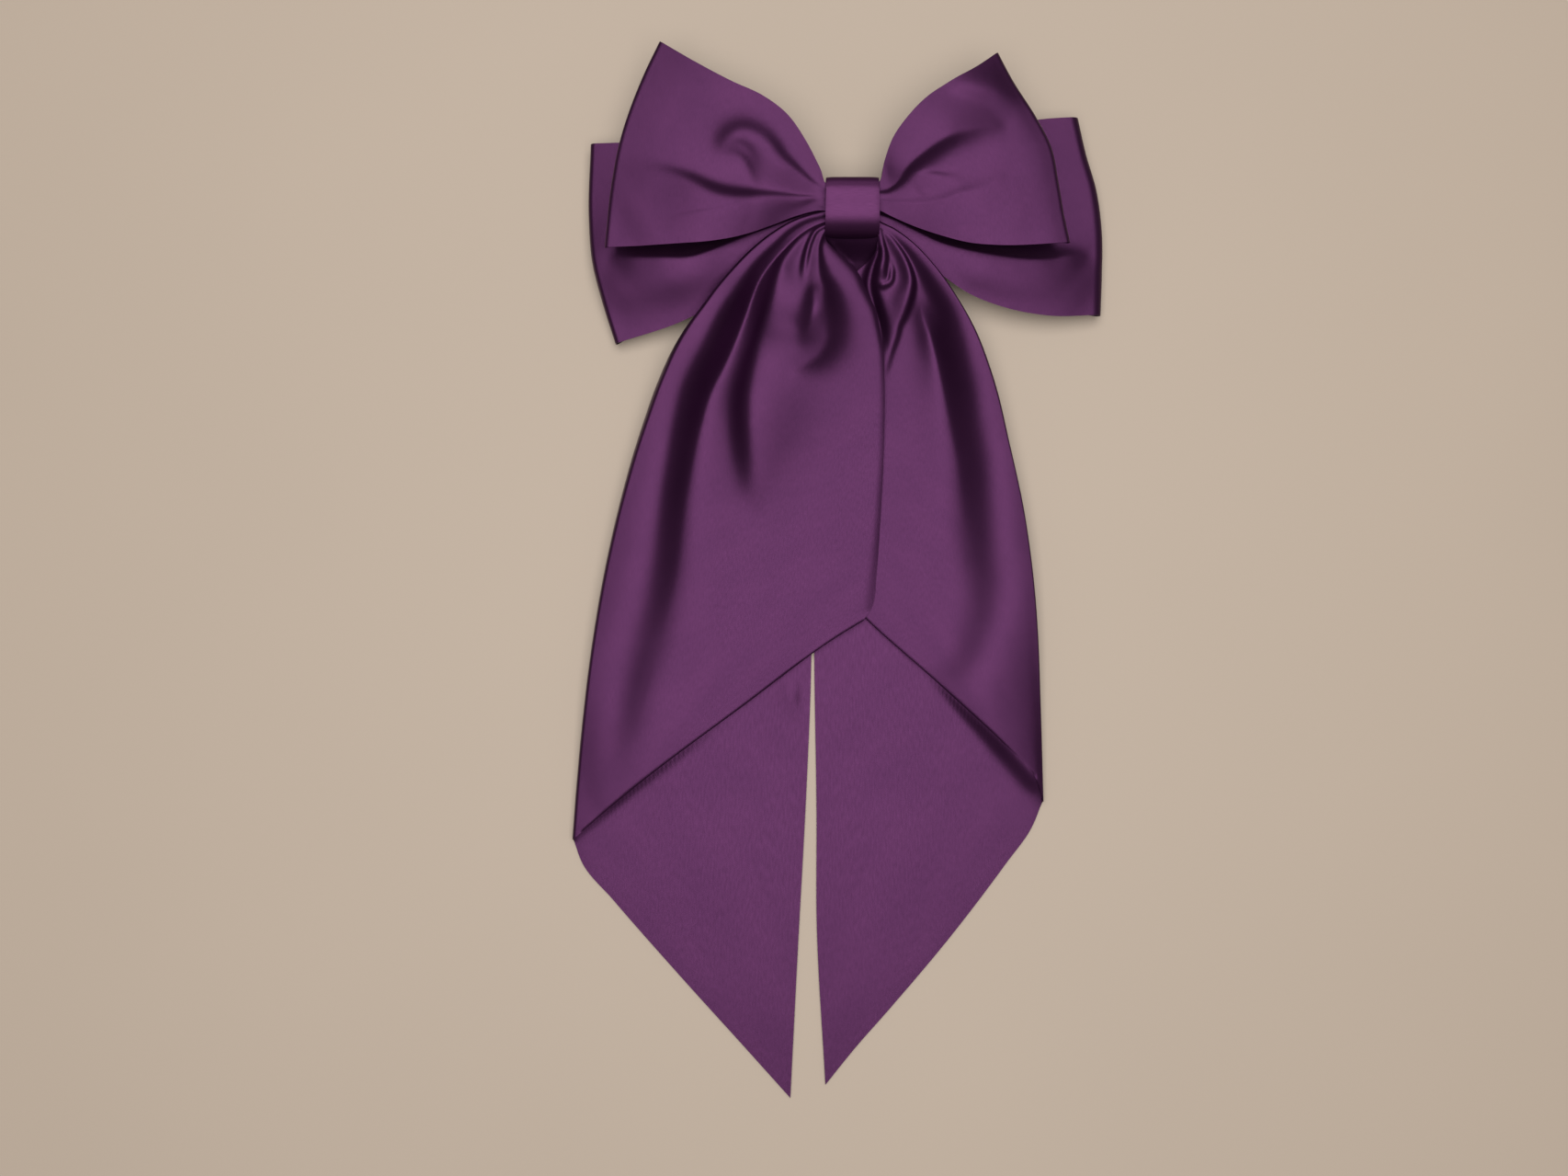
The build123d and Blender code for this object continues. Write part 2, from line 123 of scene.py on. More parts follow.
def creaseField(x, y, creases):
    # Height that the creases add at each plan point. A ridge has a path, its rise along it, and
    # its width on the left and the right. A step also has a far width: it stands high on the
    # left of its path, falls across it, and fades out on the left over the far width.
    height = np.zeros_like(x)
    for crease in creases:
        path = curveAt(crease["path"], np.linspace(0, 1, creaseRule["samples"]))
        along = np.gradient(path, axis=0)
        along /= np.linalg.norm(along, axis=1)[:, None]
        amounts = {
            part: valuesAlong(crease.get(part, 0), crease["path"])
            for part in ("rise", "left", "right", "far")
        }
        reach = creaseRule["reach"] * max(amounts[part].max() for part in ("left", "right", "far"))
        near = np.flatnonzero(
            (x > path[:, 0].min() - reach) & (x < path[:, 0].max() + reach)
            & (y > path[:, 1].min() - reach) & (y < path[:, 1].max() + reach)
        )
        for some in np.array_split(near, len(near) // creaseRule["batch"] + 1):
            if not len(some):
                continue
            dx = x[some, None] - path[None, :, 0]
            dy = y[some, None] - path[None, :, 1]
            gap = dx**2 + dy**2
            nearest = gap.min(axis=1, keepdims=True)
            # Nearby path points share the say, so a bend leaves no seam
            blur = creaseRule["blur"] + creaseRule["blurGrowth"] * nearest
            say = np.exp(-(gap - nearest) / blur)
            say /= say.sum(axis=1, keepdims=True)
            side = (say * (along[:, 0] * dy - along[:, 1] * dx)).sum(axis=1)
            past = (say * (along[:, 0] * dx + along[:, 1] * dy)).sum(axis=1)
            past = np.maximum(np.abs(past) - creaseRule["endSlack"], 0)
            here = {part: say @ amount for part, amount in amounts.items()}
            if "far" in crease:
                if crease.get("crisp"):
                    shape = np.interp(side / here["left"], crispPlaces, crispShape)
                else:
                    shape = 0.5 * (1 + np.tanh(side / here["left"]))
                fade = (np.maximum(side, 0) / here["far"]) ** 2 + (past / here["left"]) ** 2
                shape *= np.exp(-fade)
            else:
                width = np.where(side > 0, here["left"], here["right"])
                shape = np.exp(-((np.hypot(side, past) / width) ** crease.get("power", 2)))
            height[some] += here["rise"] * shape
    return height


def newPiece(name, mesh, material):
    piece = bpy.data.objects.new(name, mesh)
    bpy.context.collection.objects.link(piece)
    mesh.materials.append(material)
    mesh.polygons.foreach_set("use_smooth", [True] * len(mesh.polygons))
    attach(piece, "bow")
    return piece


def clothSheet(name, detail, place, cloth, material, thickness):
    # A grid laid on its shape, with its UV map in metres of cloth
    bm = bmesh.new()
    bm.loops.layers.uv.new("cloth")
    bmesh.ops.create_grid(bm, x_segments=detail[0], y_segments=detail[1], size=0.5, calc_uvs=True)
    mesh = bpy.data.meshes.new(name)
    bm.to_mesh(mesh)
    bm.free()
    flat = np.empty(len(mesh.vertices) * 3)
    mesh.vertices.foreach_get("co", flat)
    u, v = np.clip(flat.reshape(-1, 3)[:, :2] + 0.5, 0, 1).T
    mesh.vertices.foreach_set("co", (np.stack(place(u, v), axis=1) * mm).ravel())
    layer = mesh.uv_layers["cloth"].data
    uv = np.empty(len(layer) * 2)
    layer.foreach_get("uv", uv)
    layer.foreach_set("uv", (uv.reshape(-1, 2) * np.array(cloth) * mm).ravel())
    mesh.update()
    piece = newPiece(name, mesh, material)
    wall = piece.modifiers.new("cloth thickness", "SOLIDIFY")
    wall.thickness = thickness * mm
    wall.offset = 0
    # Keep the wall in the mesh, with crisp cut edges
    depsgraph = bpy.context.evaluated_depsgraph_get()
    walled = bpy.data.meshes.new_from_object(piece.evaluated_get(depsgraph))
    walled.name = name
    walled.set_sharp_from_angle(angle=sharpAngle)
    piece.modifiers.clear()
    piece.data = walled
    return piece


def node(tree, kind, values=None, **settings):
    made = tree.nodes.new(kind)
    for key, value in settings.items():
        setattr(made, key, value)
    for socket, value in (values or {}).items():
        made.inputs[socket].default_value = value
    return made


def nodeGroup(name, inputs, outputs):
    # A group with its named sockets, and the two nodes that stand for them inside it
    group = bpy.data.node_groups.new(name, "ShaderNodeTree")
    for direction, sockets in (("INPUT", inputs), ("OUTPUT", outputs)):
        for label, kind in sockets.items():
            group.interface.new_socket(label, in_out=direction, socket_type="NodeSocket" + kind)
    return group, node(group, "NodeGroupInput").outputs, node(group, "NodeGroupOutput").inputs


def newMaterial(name):
    material = bpy.data.materials.new(name)
    material.use_nodes = True
    tree = material.node_tree
    return material, tree, tree.nodes["Principled BSDF"].inputs


weave = {
    "floats": ((1, 0.16, 1), 3),  # how its noise is stretched, and the detail in it
    "slub": ((0.5, 0.07, 1), 4),
    "drift": ((0.012, 0.009, 1), 2),
    "weftScale": 0.3,
    "weftWander": 1.2,
    "weftShare": 0.25,  # of the relief
}


def addWeaveGroup():
    # Satin weave: fine floats along the cloth, a soft slub and a slow drift of colour
    group, given, result = nodeGroup(
        "satinWeave",
        {"Cloth": "Vector", "Threads": "Float"},
        {"Height": "Float", "Slub": "Float", "Drift": "Float"},
    )
    link = group.links.new
    size = node(group, "ShaderNodeVectorMath", operation="SCALE")
    link(given["Cloth"], size.inputs[0])
    link(given["Threads"], size.inputs["Scale"])
    noises = {}
    for part in ("floats", "slub", "drift"):
        scale, detail = weave[part]
        stretch = node(group, "ShaderNodeMapping", {"Scale": scale})
        noise = node(group, "ShaderNodeTexNoise", {"Scale": 1, "Detail": detail})
        link(size.outputs[0], stretch.inputs["Vector"])
        link(stretch.outputs[0], noise.inputs["Vector"])
        noises[part] = noise.outputs["Fac"]
    weft = node(
        group, "ShaderNodeTexWave",
        {"Scale": weave["weftScale"], "Distortion": weave["weftWander"]},
        wave_type="BANDS", bands_direction="Y",
    )
    relief = node(group, "ShaderNodeMath", {1: weave["weftShare"]}, operation="MULTIPLY_ADD")
    link(size.outputs[0], weft.inputs["Vector"])
    link(weft.outputs["Fac"], relief.inputs[0])
    link(noises["floats"], relief.inputs[2])
    link(relief.outputs[0], result["Height"])
    link(noises["slub"], result["Slub"])
    link(noises["drift"], result["Drift"])
    return group


weaveGroup = addWeaveGroup()


def makeSatin(name, look):
    material, tree, shader = newMaterial(name)
    link = tree.links.new
    cloth = node(tree, "ShaderNodeUVMap", uv_map="cloth")
    woven = node(tree, "ShaderNodeGroup", {"Threads": look["threads"]}, node_tree=weaveGroup)
    link(cloth.outputs["UV"], woven.inputs["Cloth"])
    # Two close purples drift over the cloth, and its slubs are a little darker
    noiseRange = {"From Min": look["noiseLow"], "From Max": look["noiseHigh"]}
    drift = node(tree, "ShaderNodeMapRange", noiseRange)
    tint = node(tree, "ShaderNodeMix", {"A": look["shade"], "B": look["colour"]}, data_type="RGBA")
    link(woven.outputs["Drift"], drift.inputs["Value"])
    link(drift.outputs["Result"], tint.inputs["Factor"])
    ramp = node(tree, "ShaderNodeValToRGB")
    slub, plain = ramp.color_ramp.elements
    slub.position, slub.color = look["noiseLow"], look["slub"]
    plain.position = look["slubEnd"]
    grain = node(
        tree, "ShaderNodeMix", {"Factor": look["slubShare"]},
        data_type="RGBA", blend_type="MULTIPLY",
    )
    link(woven.outputs["Slub"], ramp.inputs["Fac"])
    link(tint.outputs["Result"], grain.inputs["A"])
    link(ramp.outputs["Color"], grain.inputs["B"])
    link(grain.outputs["Result"], shader["Base Color"])
    gloss = node(
        tree, "ShaderNodeMapRange",
        {**noiseRange, "To Min": look["slubRoughness"], "To Max": look["roughness"]},
    )
    link(woven.outputs["Slub"], gloss.inputs["Value"])
    link(gloss.outputs["Result"], shader["Roughness"])
    bump = node(tree, "ShaderNodeBump", {"Strength": look["bump"], "Distance": look["relief"]})
    link(woven.outputs["Height"], bump.inputs["Height"])
    link(bump.outputs["Normal"], shader["Normal"])
    shader["Metallic"].default_value = look["metallic"]
    return material


satinLook = {
    "colour": (0.054, 0.0125, 0.054, 1),
    "shade": (0.048, 0.0108, 0.049, 1),
    "slub": (0.55, 0.5, 0.55, 1),
    "slubShare": 0.12,
    "slubEnd": 0.68,
    "noiseLow": 0.3,  # most of the weave's noise lies between these two
    "noiseHigh": 0.7,
    "roughness": 0.37,
    "slubRoughness": 0.45,
    "metallic": 0.85,
    "threads": 5000,  # per metre of cloth
    "bump": 0.25,
    "relief": 0.0001,
}
# The knot band wears the same satin painted lighter: a painted highlight for the light its top
# catches
bandLitLook = {
    **satinLook,
    "colour": (0.069, 0.0162, 0.067, 1),
    "shade": (0.062, 0.0145, 0.061, 1),
}
ribbonThickness = 0.35
satin = makeSatin("purpleSatin", satinLook)
bandLitSatin = makeSatin("knotSatinLit", bandLitLook)
print("satin ready")


# Each bow is one ribbon ring, gathered in the middle
ringRule = {
    "crowd": 1.5,  # columns crowd at the folds
    "tuck": 0.03,  # share of the width by which the back panel hides inside the front one
    "tuckEase": 0.15,
    "loopLength": 90,  # mm, from which a fold's reach is a share
    "pleatLift": 0.15,  # as a share of the pleats' depth
    "pleatFull": 0.22,  # a loop runs from 0 at the knot to 1 at its fold: pleats full from here
    "pleatFade": 0.62,  # and fading out here
    "pleatLowest": -1.8,
    "panelGap": 1.1,  # kept free between the two panels
}


def bowPlace(bow):
    def place(u, v):
        x, y, z = np.zeros_like(u), np.zeros_like(u), np.zeros_like(u)
        for side, here in (("left", u < 0.5), ("right", u >= 0.5)):
            loop = bow[side]
            # a is 1 at the knot in front, 0 at the fold and -1 at the knot behind
            a = u[here] * 4 - 1 if side == "left" else 3 - u[here] * 4
            s = 1 - np.abs(a) ** ringRule["crowd"]
            behind = 1 - np.exp(-((np.minimum(a, 0) / ringRule["tuckEase"]) ** 2))
            t = v[here] + ringRule["tuck"] * (1 - v[here]) * behind
            plan = blendPatch(loop["neck"], loop["fold"], loop["lower"], loop["upper"], s, t)
            front, back = (
                levelAt(loop[panel + "Low"], s) * (1 - t) + levelAt(loop[panel + "High"], s) * t
                for panel in ("front", "back")
            )
            # The two panels meet round at the fold
            foldStart = 1 - loop["foldReach"] / ringRule["loopLength"]
            bend = np.maximum(0, s - foldStart) / (1 - foldStart)
            turn = np.sqrt(np.maximum(0, 1 - bend**2))
            height = (front + back) / 2 + np.sign(a) * turn * (front - back) / 2
            # The back panel is gathered too, and stays clear of the front one
            pleats = ringRule["pleatLift"] - 0.5 * np.cos(t * 2 * np.pi * loop["pleats"])
            pleats *= loop["pleatDepth"] * np.clip(s / ringRule["pleatFull"], 0, 1) ** 1.5
            pleats *= np.exp(-((s / ringRule["pleatFade"]) ** 4))
            highest = np.maximum(front - back - ringRule["panelGap"], 0)
            creases = np.clip(pleats, ringRule["pleatLowest"], highest)
            isFront = a > 0
            creases[isFront] = creaseField(*plan[isFront].T, loop["creases"])
            x[here], y[here] = plan.T
            z[here] = height + creases * turn
        return x, y, z

    return place


frontBow = {
    "cloth": (372, 76),  # length and width of its UV map, in mm
    "left": {
        "neck": [(0, -3), (0, 6.6)],
        "lower": [(0, -3), (-5, -2), (-9.6, -1.2), (-20, -3.2), (-27, -6), (-34, -8.8),
                  (-42, -11.2), (-50, -12.6), (-62, -13.4), (-75.6, -14), (-87.4, -14.2)],
        "upper": [(0, 6.6), (-5, 6.8), (-9.6, 8), (-10.9, 11.8), (-12.7, 15.4), (-16.8, 22.7),
                  (-22.9, 31), (-31.4, 37.4), (-42.4, 42.6), (-55.5, 49.8), (-67.8, 57.4)],
        "fold": [(-87.4, -14.2), (-84.8, 8.6), (-82.1, 22.2), (-73.5, 45.8), (-67.8, 57.4)],
        "foldReach": 1.3,
        "frontLow": [(0, 19.4), (0.11, 17.8), (0.24, 16.9), (0.42, 17.6), (0.65, 19.0),
                     (0.85, 18.8), (1, 18.0)],
        "frontHigh": [(0, 19.4), (0.11, 20.0), (0.24, 22.2), (0.42, 23.8), (0.65, 23.8),
                      (0.85, 22.8), (1, 21.4)],
        "backLow": [(0, 18.2), (0.11, 16.6), (0.24, 15.5), (0.42, 15.2), (0.65, 14.8),
                    (0.85, 15.2), (1, 16.4)],
        "backHigh": [(0, 18.2), (0.11, 18.4), (0.24, 17.8), (0.42, 16.4), (0.65, 15.6),
                     (0.85, 17.2), (1, 19.4)],
        "pleats": 6,
        "pleatDepth": 6.0,
        "creases": [
            # Ridge that runs out of the knot and ends in a curl, falling away outside it
            {"path": [(-10.2, 6.4), (-13.8, 8.4), (-18, 11.8), (-21.2, 14.5), (-24.1, 17),
                      (-27.6, 21.4), (-30.9, 24.5), (-34.7, 26.4), (-39.3, 27.1), (-43.5, 25.5),
                      (-46, 22.4), (-46.4, 19), (-44.7, 15.2)],
             "rise": [0.4, 0.9, 1.5, 2.2, 2.7, 3.1, 3.4, 3.5, 3.4, 3.0, 2.3, 1.4, 0],
             "left": [0.8, 1.0, 1.4, 1.9, 2.4, 3.0, 3.6, 4.0, 4.0, 3.8, 3.4, 3.2, 3.0],
             "far": [9, 10, 12, 13, 13, 12, 11, 11, 11, 11, 11, 11, 11]},
            # Long hollow under the ridge, overhung by the lower pleat
            {"path": [(-9.9, 3.4), (-18.6, 3.5), (-28.3, 4.0), (-34.7, 4.15), (-41.2, 4.3),
                      (-46, 5.1), (-50.9, 6.9), (-55.1, 9.0), (-59.6, 10.9), (-66, 12.8),
                      (-83, 17)],
             "rise": [0.5, 0.9, 2.3, 3.2, 3.8, 3.6, 3.1, 2.5, 1.8, 1.2, 0],
             "left": [0.5, 0.8, 1.7, 2.3, 2.7, 2.7, 2.5, 2.4, 2.3, 2.6, 4],
             "far": [8, 12, 18, 24, 28, 30, 30, 30, 30, 30, 30]},
            # Faint line along the pleat
            {"path": [(-38, 0.9), (-46.7, -1.8), (-52.8, -2.9), (-58.6, -3.7), (-66, -4.2)],
             "rise": [0, 0.22, 0.26, 0.2, 0], "left": 1.0, "far": 9, "crisp": True},
        ],
    },
    "right": {
        "neck": [(0, -3), (0, 6.6)],
        "lower": [(0, -3), (5, -2), (9.4, -1.2), (13, -2.8), (20.8, -6.2), (31.4, -10.1),
                  (42, -13), (52.6, -14), (65.8, -13.7), (76.8, -12.8)],
        "upper": [(0, 6.6), (5, 6.8), (9.3, 8.2), (11, 14.5), (13.9, 22.4), (19.2, 29.8),
                  (25.8, 36.4), (33.6, 41.6), (42.8, 47), (51, 53.2)],
        "fold": [(76.8, -12.8), (74.6, -3), (72.8, 7), (69.8, 20.9), (64.6, 30.8), (56.2, 43.6),
                 (51, 53.2)],
        "foldReach": 1.5,
        "frontLow": [(0, 19.4), (0.12, 17.8), (0.26, 16.9), (0.45, 17.8), (0.65, 19.6),
                     (0.82, 20.4), (0.93, 20.4), (1, 19.8)],
        "frontHigh": [(0, 19.4), (0.12, 20.0), (0.26, 22.2), (0.45, 23.6), (0.65, 24.2),
                      (0.82, 24.0), (0.93, 23.4), (1, 22.4)],
        "backLow": [(0, 18.2), (0.12, 16.6), (0.26, 15.5), (0.45, 15.2), (0.65, 14.8),
                    (0.85, 15.4), (1, 17.0)],
        "backHigh": [(0, 18.2), (0.12, 18.4), (0.26, 17.8), (0.45, 16.4), (0.65, 15.0),
                     (0.85, 16.6), (1, 19.4)],
        "pleats": 6,
        "pleatDepth": 6.0,
        "creases": [
            # Strip along the upper rim, standing crisply over a hollow
            {"path": [(9.2, 5.2), (12.8, 5.9), (15.6, 7.9), (18.8, 12.2), (25.7, 18),
                      (33.8, 22.9), (41.1, 25.1), (47.5, 26.3), (54, 26.4)],
             "rise": [0.4, 0.8, 1.4, 2.8, 3.6, 3.6, 2.4, 1.2, 0],
             "left": [0.8, 1.1, 1.8, 3.6, 4.8, 5.4, 5.8, 6, 6],
             "far": [5, 7, 9, 13, 20, 26, 30, 30, 30], "crisp": True},
            # Wedge in the hollow
            {"path": [(41, 7.6), (36.2, 10), (31.4, 10.8), (26.5, 11.3), (21.7, 11.1)],
             "rise": [0, 0.6, 0.9, 0.9, 0], "left": [2.4, 1.6, 1.1, 0.9, 0.8], "far": 8},
            # Pleat to the lower right with a crisp upper edge
            {"path": [(54, 11.9), (50.7, 9.1), (44.3, 5.4), (37.8, 3.7), (33, 2.2), (28.2, 1.3),
                      (21.7, 1.0), (15.3, 1.3), (9.1, 1.9)],
             "rise": [0, 0.5, 1.0, 1.2, 1.2, 1.0, 0.8, 0.6, 0.4],
             "left": [6, 6, 5, 4.5, 4, 3.6, 3, 2, 1.2],
             "far": [30, 30, 30, 26, 22, 18, 14, 10, 6], "crisp": True},
            # Soft dent near the corner
            {"path": [(31, 39.8), (37.8, 38), (44.3, 37.1), (50.7, 36.1), (60, 35)],
             "rise": [0, 1.3, 1.6, 1.3, 0], "left": 2.3, "far": 10},
        ],
    },
}

backBow = {
    "cloth": (372, 76),  # length and width of its UV map, in mm
    "left": {
        "neck": [(0, -6), (0, 4)],
        "lower": [(0, -6), (-5, -6.8), (-9.8, -8), (-20, -16), (-37, -26), (-61.4, -38.8),
                  (-85.1, -46.2)],
        "upper": [(0, 4), (-5, 4), (-9.8, 5), (-20, 17), (-38, 23), (-58, 25), (-77, 25.4),
                  (-93.9, 25.4)],
        "fold": [(-85.1, -46.2), (-90.2, -30), (-93.4, -17.2), (-94.7, -0.7), (-93.9, 25.4)],
        "foldReach": 1.3,
        "frontLow": [(0, 15.0), (0.1, 15.0), (0.22, 13.2), (0.42, 10.2), (0.6, 8.0), (0.8, 6.2),
                     (1, 5.0)],
        "frontHigh": [(0, 15.0), (0.1, 15.0), (0.22, 14.6), (0.42, 13.2), (0.6, 11.2), (0.8, 9.0),
                      (1, 7.4)],
        "backLow": [(0, 13.7), (0.1, 13.2), (0.22, 11.0), (0.42, 8.4), (0.6, 3.8), (0.8, 1.6),
                    (1, 1.2)],
        "backHigh": [(0, 13.7), (0.1, 13.2), (0.22, 12.4), (0.42, 12.0), (0.6, 6.6), (0.8, 3.6),
                     (1, 2.8)],
        "pleats": 5,
        "pleatDepth": 2.8,
        "creases": [
            # Crisp pleat just under the front loop
            {"path": [(-9.8, -0.4), (-15, -1.4), (-22.6, -3.7), (-30, -6.2), (-38.2, -9),
                      (-44.8, -11.7), (-51.3, -14.4), (-57.1, -16.4), (-67.7, -16.6),
                      (-77.5, -16.2), (-87, -15.5)],
             "rise": [0.4, 0.6, 0.9, 1.4, 2.0, 2.6, 3.1, 3.4, 3.0, 2.0, 0],
             "left": [0.8, 0.9, 1.2, 1.7, 2.4, 3.0, 3.8, 4.4, 4.6, 4.6, 4.6],
             "far": [1.6, 2.4, 3.6, 5.5, 8, 11, 14, 16, 18, 18, 18], "crisp": True},
            # The cloth falls away below it
            {"path": [(-96, -34), (-86, -32.5), (-72, -31), (-60, -28), (-50, -24), (-42, -19)],
             "rise": [2.2, 3, 3.6, 3.4, 2, 0], "left": [9, 8, 8, 7, 6, 5], "far": 40},
        ],
    },
    "right": {
        "neck": [(0, -6), (0, 4)],
        "lower": [(0, -6), (5, -6.8), (9.8, -7.8), (20, -13.6), (32, -22.4), (43, -29.4),
                  (53, -33.2), (71.4, -36.6), (90.6, -36)],
        "upper": [(0, 4), (5, 4), (9.8, 5), (19, 17), (34, 25), (51, 30), (68, 33.6), (82, 34.8)],
        "fold": [(90.6, -36), (91, -22), (91, -7.3), (88.8, 9.2), (85, 22), (82, 34.8)],
        "foldReach": 3.0,
        "frontLow": [(0, 15.0), (0.1, 15.0), (0.22, 12.8), (0.42, 9.6), (0.6, 8.0), (0.8, 7.0),
                     (1, 6.2)],
        "frontHigh": [(0, 15.0), (0.1, 15.0), (0.22, 14.2), (0.42, 12.4), (0.6, 10.8), (0.8, 9.4),
                      (1, 8.4)],
        "backLow": [(0, 13.7), (0.1, 13.2), (0.22, 11.0), (0.42, 8.4), (0.6, 3.8), (0.8, 1.6),
                    (1, 1.2)],
        "backHigh": [(0, 13.7), (0.1, 13.2), (0.22, 12.4), (0.42, 12.0), (0.6, 6.6), (0.8, 3.6),
                     (1, 2.8)],
        "pleats": 5,
        "pleatDepth": 2.8,
        "creases": [
            # Crisp pleat just under the front loop, its high side below
            {"path": [(86, -14.5), (78, -15.6), (68, -16.8), (58, -16.4), (48, -15), (40, -13.4),
                      (31, -10.9), (23, -7.3), (16, -4), (9.8, -2)],
             "rise": [0, 2.0, 3.0, 3.2, 3.2, 2.7, 2.0, 1.3, 0.8, 0.4],
             "left": [4.6, 4.6, 4.6, 4.2, 3.4, 2.8, 2.2, 1.6, 1.1, 0.8],
             "far": [18, 18, 18, 18, 16, 13, 9, 6, 4, 2.4], "crisp": True},
            # The cloth falls away below it
            {"path": [(32, -21), (44, -25.6), (58, -29), (74, -31), (90, -31)],
             "rise": [0, 1.6, 1.4, 0.8, 0], "left": [4, 4, 5, 6, 6], "far": 20},
        ],
    },
}

sheetDetail = ((300, 128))  # faces along the ribbon and across it
frontPiece = clothSheet(
    "frontBow", sheetDetail, bowPlace(frontBow), frontBow["cloth"], satin, ribbonThickness)
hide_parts("front_bow")
backPiece = clothSheet(
    "backBow", sheetDetail, bowPlace(backBow), backBow["cloth"], satin, ribbonThickness)
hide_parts("back_bow")
print("bows ready")


# The tails are one wide ribbon, each end folded lengthwise along its outer edge
tailRule = {
    "knotCrowd": 1.5,  # rows crowd at the knot and at the cut
    "cutCrowd": 1.3,
    "foldCrowd": 1.35,  # and columns at the fold
    "roundLeast": 0.6,  # a fold is rounder where its flaps lie further apart
    "roundShare": 0.35,
    "flapGap": 0.9,  # least height of the front flap over the back one
    "overlapEnd": -16,  # left of this the tails don't cross
    "softStop": 0.5,  # how gently a fold stops above what lies under it
    "flapLength": 230,  # mm from knot to cut
    "lowest": 0.25,  # above the table
}


def tailPlace(tail):
    front, back, split = tail["front"], tail["back"], tail["split"]

    def place(u, v):
        # u runs from the front flap's inner edge over the fold to the back flap's inner edge,
        # and v from the knot to the cut
        isFront = u < split
        s = 1 - np.maximum(0, 1 - v ** tailRule["knotCrowd"]) ** tailRule["cutCrowd"]
        t = np.where(isFront, 1 - u / split, (u - split) / (1 - split)) ** tailRule["foldCrowd"]
        x, y, creases = np.zeros_like(u), np.zeros_like(u), np.zeros_like(u)
        for flap, here in ((front, isFront), (back, ~isFront)):
            plan = blendPatch(
                flap["start"], flap["cut"], tail["fold"], flap["edge"], s[here], t[here])
            x[here], y[here] = plan.T
            creases[here] = creaseField(x[here], y[here], flap["creases"])
        upper, lower = levelAt(front["level"], -y), levelAt(back["level"], -y)
        # The two flaps meet round at the fold
        foldAt = curveAt(tail["fold"], s)
        away = np.hypot(x - foldAt[:, 0], y - foldAt[:, 1])
        reach = tailRule["roundShare"] * (upper - lower) + tailRule["roundLeast"]
        bend = np.maximum(0, 1 - away / np.minimum(tail["foldReach"], reach))
        turn = np.sqrt(np.maximum(0, 1 - bend**2))
        # The front flap's folds never sink into what lies under it
        under = levelAt(front["under"], -y) - np.maximum(0, tailRule["overlapEnd"] - x)
        under = np.maximum(lower + tailRule["flapGap"], under) - upper
        held = (creases + under + np.sqrt((creases - under) ** 2 + tailRule["softStop"])) / 2
        # Its slanting cut lifts a little towards the fold
        fromCut = (1 - s) * tailRule["flapLength"] / tail["liftReach"]
        held += levelAt(front["cutLift"], t) * np.exp(-(fromCut**2))
        creases = np.where(isFront, held, creases)
        half = np.where(isFront, 1, -1) * turn * (upper - lower) / 2
        z = (upper + lower) / 2 + half + creases * turn
        return x, y, np.maximum(z, tailRule["lowest"])

    return place


